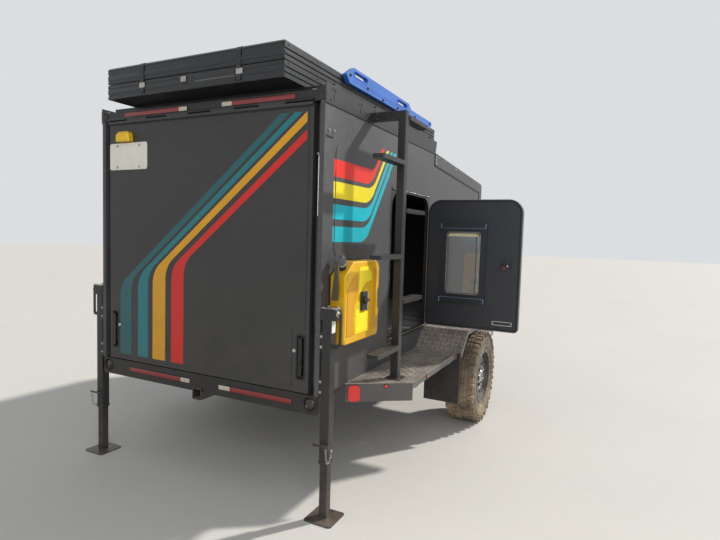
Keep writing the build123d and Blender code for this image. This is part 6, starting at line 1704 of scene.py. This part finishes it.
def galleyFronts(sizes):
    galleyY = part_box("galley")[0].y
    frontY = galleyY + 0.014
    fronts = bmesh.new()
    for left, right in sizes["fronts"]:
        tall = (sizes["high"] - sizes["low"] - sizes["gap"]) / 2
        for k in range(2):
            z = sizes["low"] + tall / 2 + k * (tall + sizes["gap"])
            plane = rearFace((left + right) / 2, frontY + sizes["deep"], z)
            addPrism(fronts, roundRect(right - left, tall, 0.004), 0, sizes["deep"], plane, bevel=0.0015,
                holes=[roundRect(0.090, 2 * sizes["hole"], sizes["hole"] - 0.0005, 8)])
    setPiece("galleyFronts", fronts, "galley_wood", "trailer")
    edge = bmesh.new()
    addBox(edge, (-0.712, galleyY - 0.0015, 0.9845), (0.712, galleyY + 0.0005, 1.0105), 0.0006)
    setPiece("counterEdge", edge, "galley_edge", "trailer")
    lamp, rail = newMeshes(2)
    addBox(rail, (-0.60, -1.132, 1.4465), (0.60, -1.108, 1.4612), 0.001)
    addBox(lamp, (-0.59, -1.1285, 1.4440), (0.59, -1.1115, 1.4470), 0.0008)
    setPiece("galleyLampRail", rail, "edge_bright")
    setPiece("galleyLamp", lamp, "lamp_white")


galleyFronts(galleySizes)


# Underside: spring clamps with their nuts, and the bolts of the coupler
underSizes = {"clampY": 0.046, "clampX": 0.034, "rod": 0.0055, "springWide": 0.060,
    "couplerBolts": (0.10, 0.16)}


def underTrim(sizes):
    bolts, straps = newMeshes(2)
    springLow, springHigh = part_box("leaf_springs")
    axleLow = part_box("axle_beam")[0].z
    springs = surfaceOf("leaf_springs")
    halfX = sizes["clampX"]
    for side in (1, -1):
        found = hitOn(springs, (side * 2, 0, (springLow.z + springHigh.z) / 2 - 0.01), (-side, 0, 0))
        edgeX = abs(found.x) if found is not None else springHigh.x
        midX = side * (edgeX - sizes["springWide"] / 2)
        found = hitOn(springs, (midX, 0.06, 2), (0, 0, -1))
        topZ = found.z if found is not None else springHigh.z
        for y in (-sizes["clampY"], sizes["clampY"]):
            path = smoothPath([(midX + x, y, z) for x, z in ((-halfX, axleLow - 0.012),
                (-halfX, topZ - 0.010), (-0.028, topZ + 0.008), (0, topZ + 0.010), (0.028, topZ + 0.008),
                (halfX, topZ - 0.010), (halfX, axleLow - 0.012))], 5)
            addSweep(straps, path, roundSection(sizes["rod"], 8), up=(0, 1, 0))
            for x in (-halfX, halfX):
                addBolt(bolts, onPlane((midX + x, y, axleLow - 0.002), (1, 0, 0), (0, 0, -1)), 0.016, 0.011)
    setPiece("springClamps", straps, "edge_bright", "trailer")
    setPiece("clampNuts", bolts, "edge_bright")
    plates = bmesh.new()
    top, frontY = surfaceOf("coupler"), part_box("coupler")[1].y
    for back in sizes["couplerBolts"]:
        found = hitOn(top, (0, frontY - back, 2), (0, 0, -1))
        if found is not None:
            addBolt(plates, topFace(*found), 0.016, 0.009)
    setPiece("couplerBolts", plates, "edge_bright")


underTrim(underSizes)
print("underside done")


# Camera at the photograph's place, soft studio light, pale floor
cameraSizes = {"place": (2.0112, -3.8929, 1.3703), "heading": 26.5695, "pitch": 3.7761, "roll": 1.6881,
    "lens": 25.956, "sensor": 36.0}


def setCamera(sizes):
    heading, pitch, roll = (math.radians(sizes[key]) for key in ("heading", "pitch", "roll"))
    forward = Vector((-math.sin(heading) * math.cos(pitch), math.cos(heading) * math.cos(pitch),
        -math.sin(pitch)))
    right = Vector((math.cos(heading), math.sin(heading), 0))
    up = right.cross(forward)
    tiltedRight = right * math.cos(roll) + up * math.sin(roll)
    tiltedUp = up * math.cos(roll) - right * math.sin(roll)
    data = bpy.data.cameras.new("photoCamera")
    data.lens = sizes["lens"]
    data.sensor_width = sizes["sensor"]
    data.clip_end = 200
    camera = newObject("photoCamera", data)
    turned = Matrix((tiltedRight, tiltedUp, -forward)).transposed().to_4x4()
    turned.translation = Vector(sizes["place"])
    camera.matrix_world = turned
    scene.camera = camera


lightSizes = {"sunWay": (-0.463, -0.651, -0.601), "sunPower": 3.6, "sunSoft": 2.5, "skyPower": 0.52,
    "fillPlace": (4.2, -7.2, 3.4), "fillAim": (0.0, -1.8, 1.1), "fillSize": 4.0, "fillPower": 140.0,
    "backdrop": (0.86, 0.87, 0.88), "floor": (0.80, 0.79, 0.77), "floorRadius": 45.0}


def setStage(sizes):
    sun = bpy.data.lights.new("sun", "SUN")
    sun.energy = sizes["sunPower"]
    sun.angle = math.radians(sizes["sunSoft"])
    sun.color = (1.0, 0.965, 0.91)
    newObject("sun", sun).rotation_euler = Vector(sizes["sunWay"]).to_track_quat("-Z", "Y").to_euler()
    fill = bpy.data.lights.new("fill", "AREA")
    fill.energy = sizes["fillPower"]
    fill.size = sizes["fillSize"]
    fillObject = newObject("fill", fill)
    fillObject.location = sizes["fillPlace"]
    way = Vector(sizes["fillAim"]) - Vector(sizes["fillPlace"])
    fillObject.rotation_euler = way.to_track_quat("-Z", "Y").to_euler()
    world = bpy.data.worlds.new("studio")
    world.use_nodes = True
    scene.world = world
    tree = world.node_tree
    sky = tree.nodes["Background"]
    sky.inputs["Color"].default_value = (0.93, 0.96, 1.0, 1.0)
    sky.inputs["Strength"].default_value = sizes["skyPower"]
    shown = addNode(tree, "ShaderNodeBackground", {"Color": srgb(*sizes["backdrop"]), "Strength": 1.0})
    path = addNode(tree, "ShaderNodeLightPath")
    seen = mathNode(tree, "MAXIMUM", path.outputs["Is Camera Ray"], path.outputs["Is Transmission Ray"])
    seen = mathNode(tree, "MAXIMUM", seen, path.outputs["Is Glossy Ray"])
    mix = addNode(tree, "ShaderNodeMixShader", {0: seen, 1: sky, 2: shown})
    feed(tree, tree.nodes["World Output"].inputs["Surface"], mix)
    bm = bmesh.new()
    bmesh.ops.create_circle(bm, cap_ends=True, segments=96, radius=sizes["floorRadius"])
    mesh = bpy.data.meshes.new("studioFloor")
    bm.to_mesh(mesh)
    bm.free()
    floor = newObject("studioFloor", mesh)
    material, floorTree, shader, place = newMaterial("studioFloor")
    tone = useGroup(floorTree, "tone", place, Color=srgb(*sizes["floor"]), Scale=0.8, Amount=0.02)
    feed(floorTree, shader.inputs["Base Color"], tone)
    shader.inputs["Roughness"].default_value = 0.8
    mesh.materials.append(material)


setCamera(cameraSizes)
setStage(lightSizes)
print("camera and stage done")


for item in seeds:
    bpy.data.objects.remove(item)
bpy.data.meshes.remove(scratch)
print("pieces done")
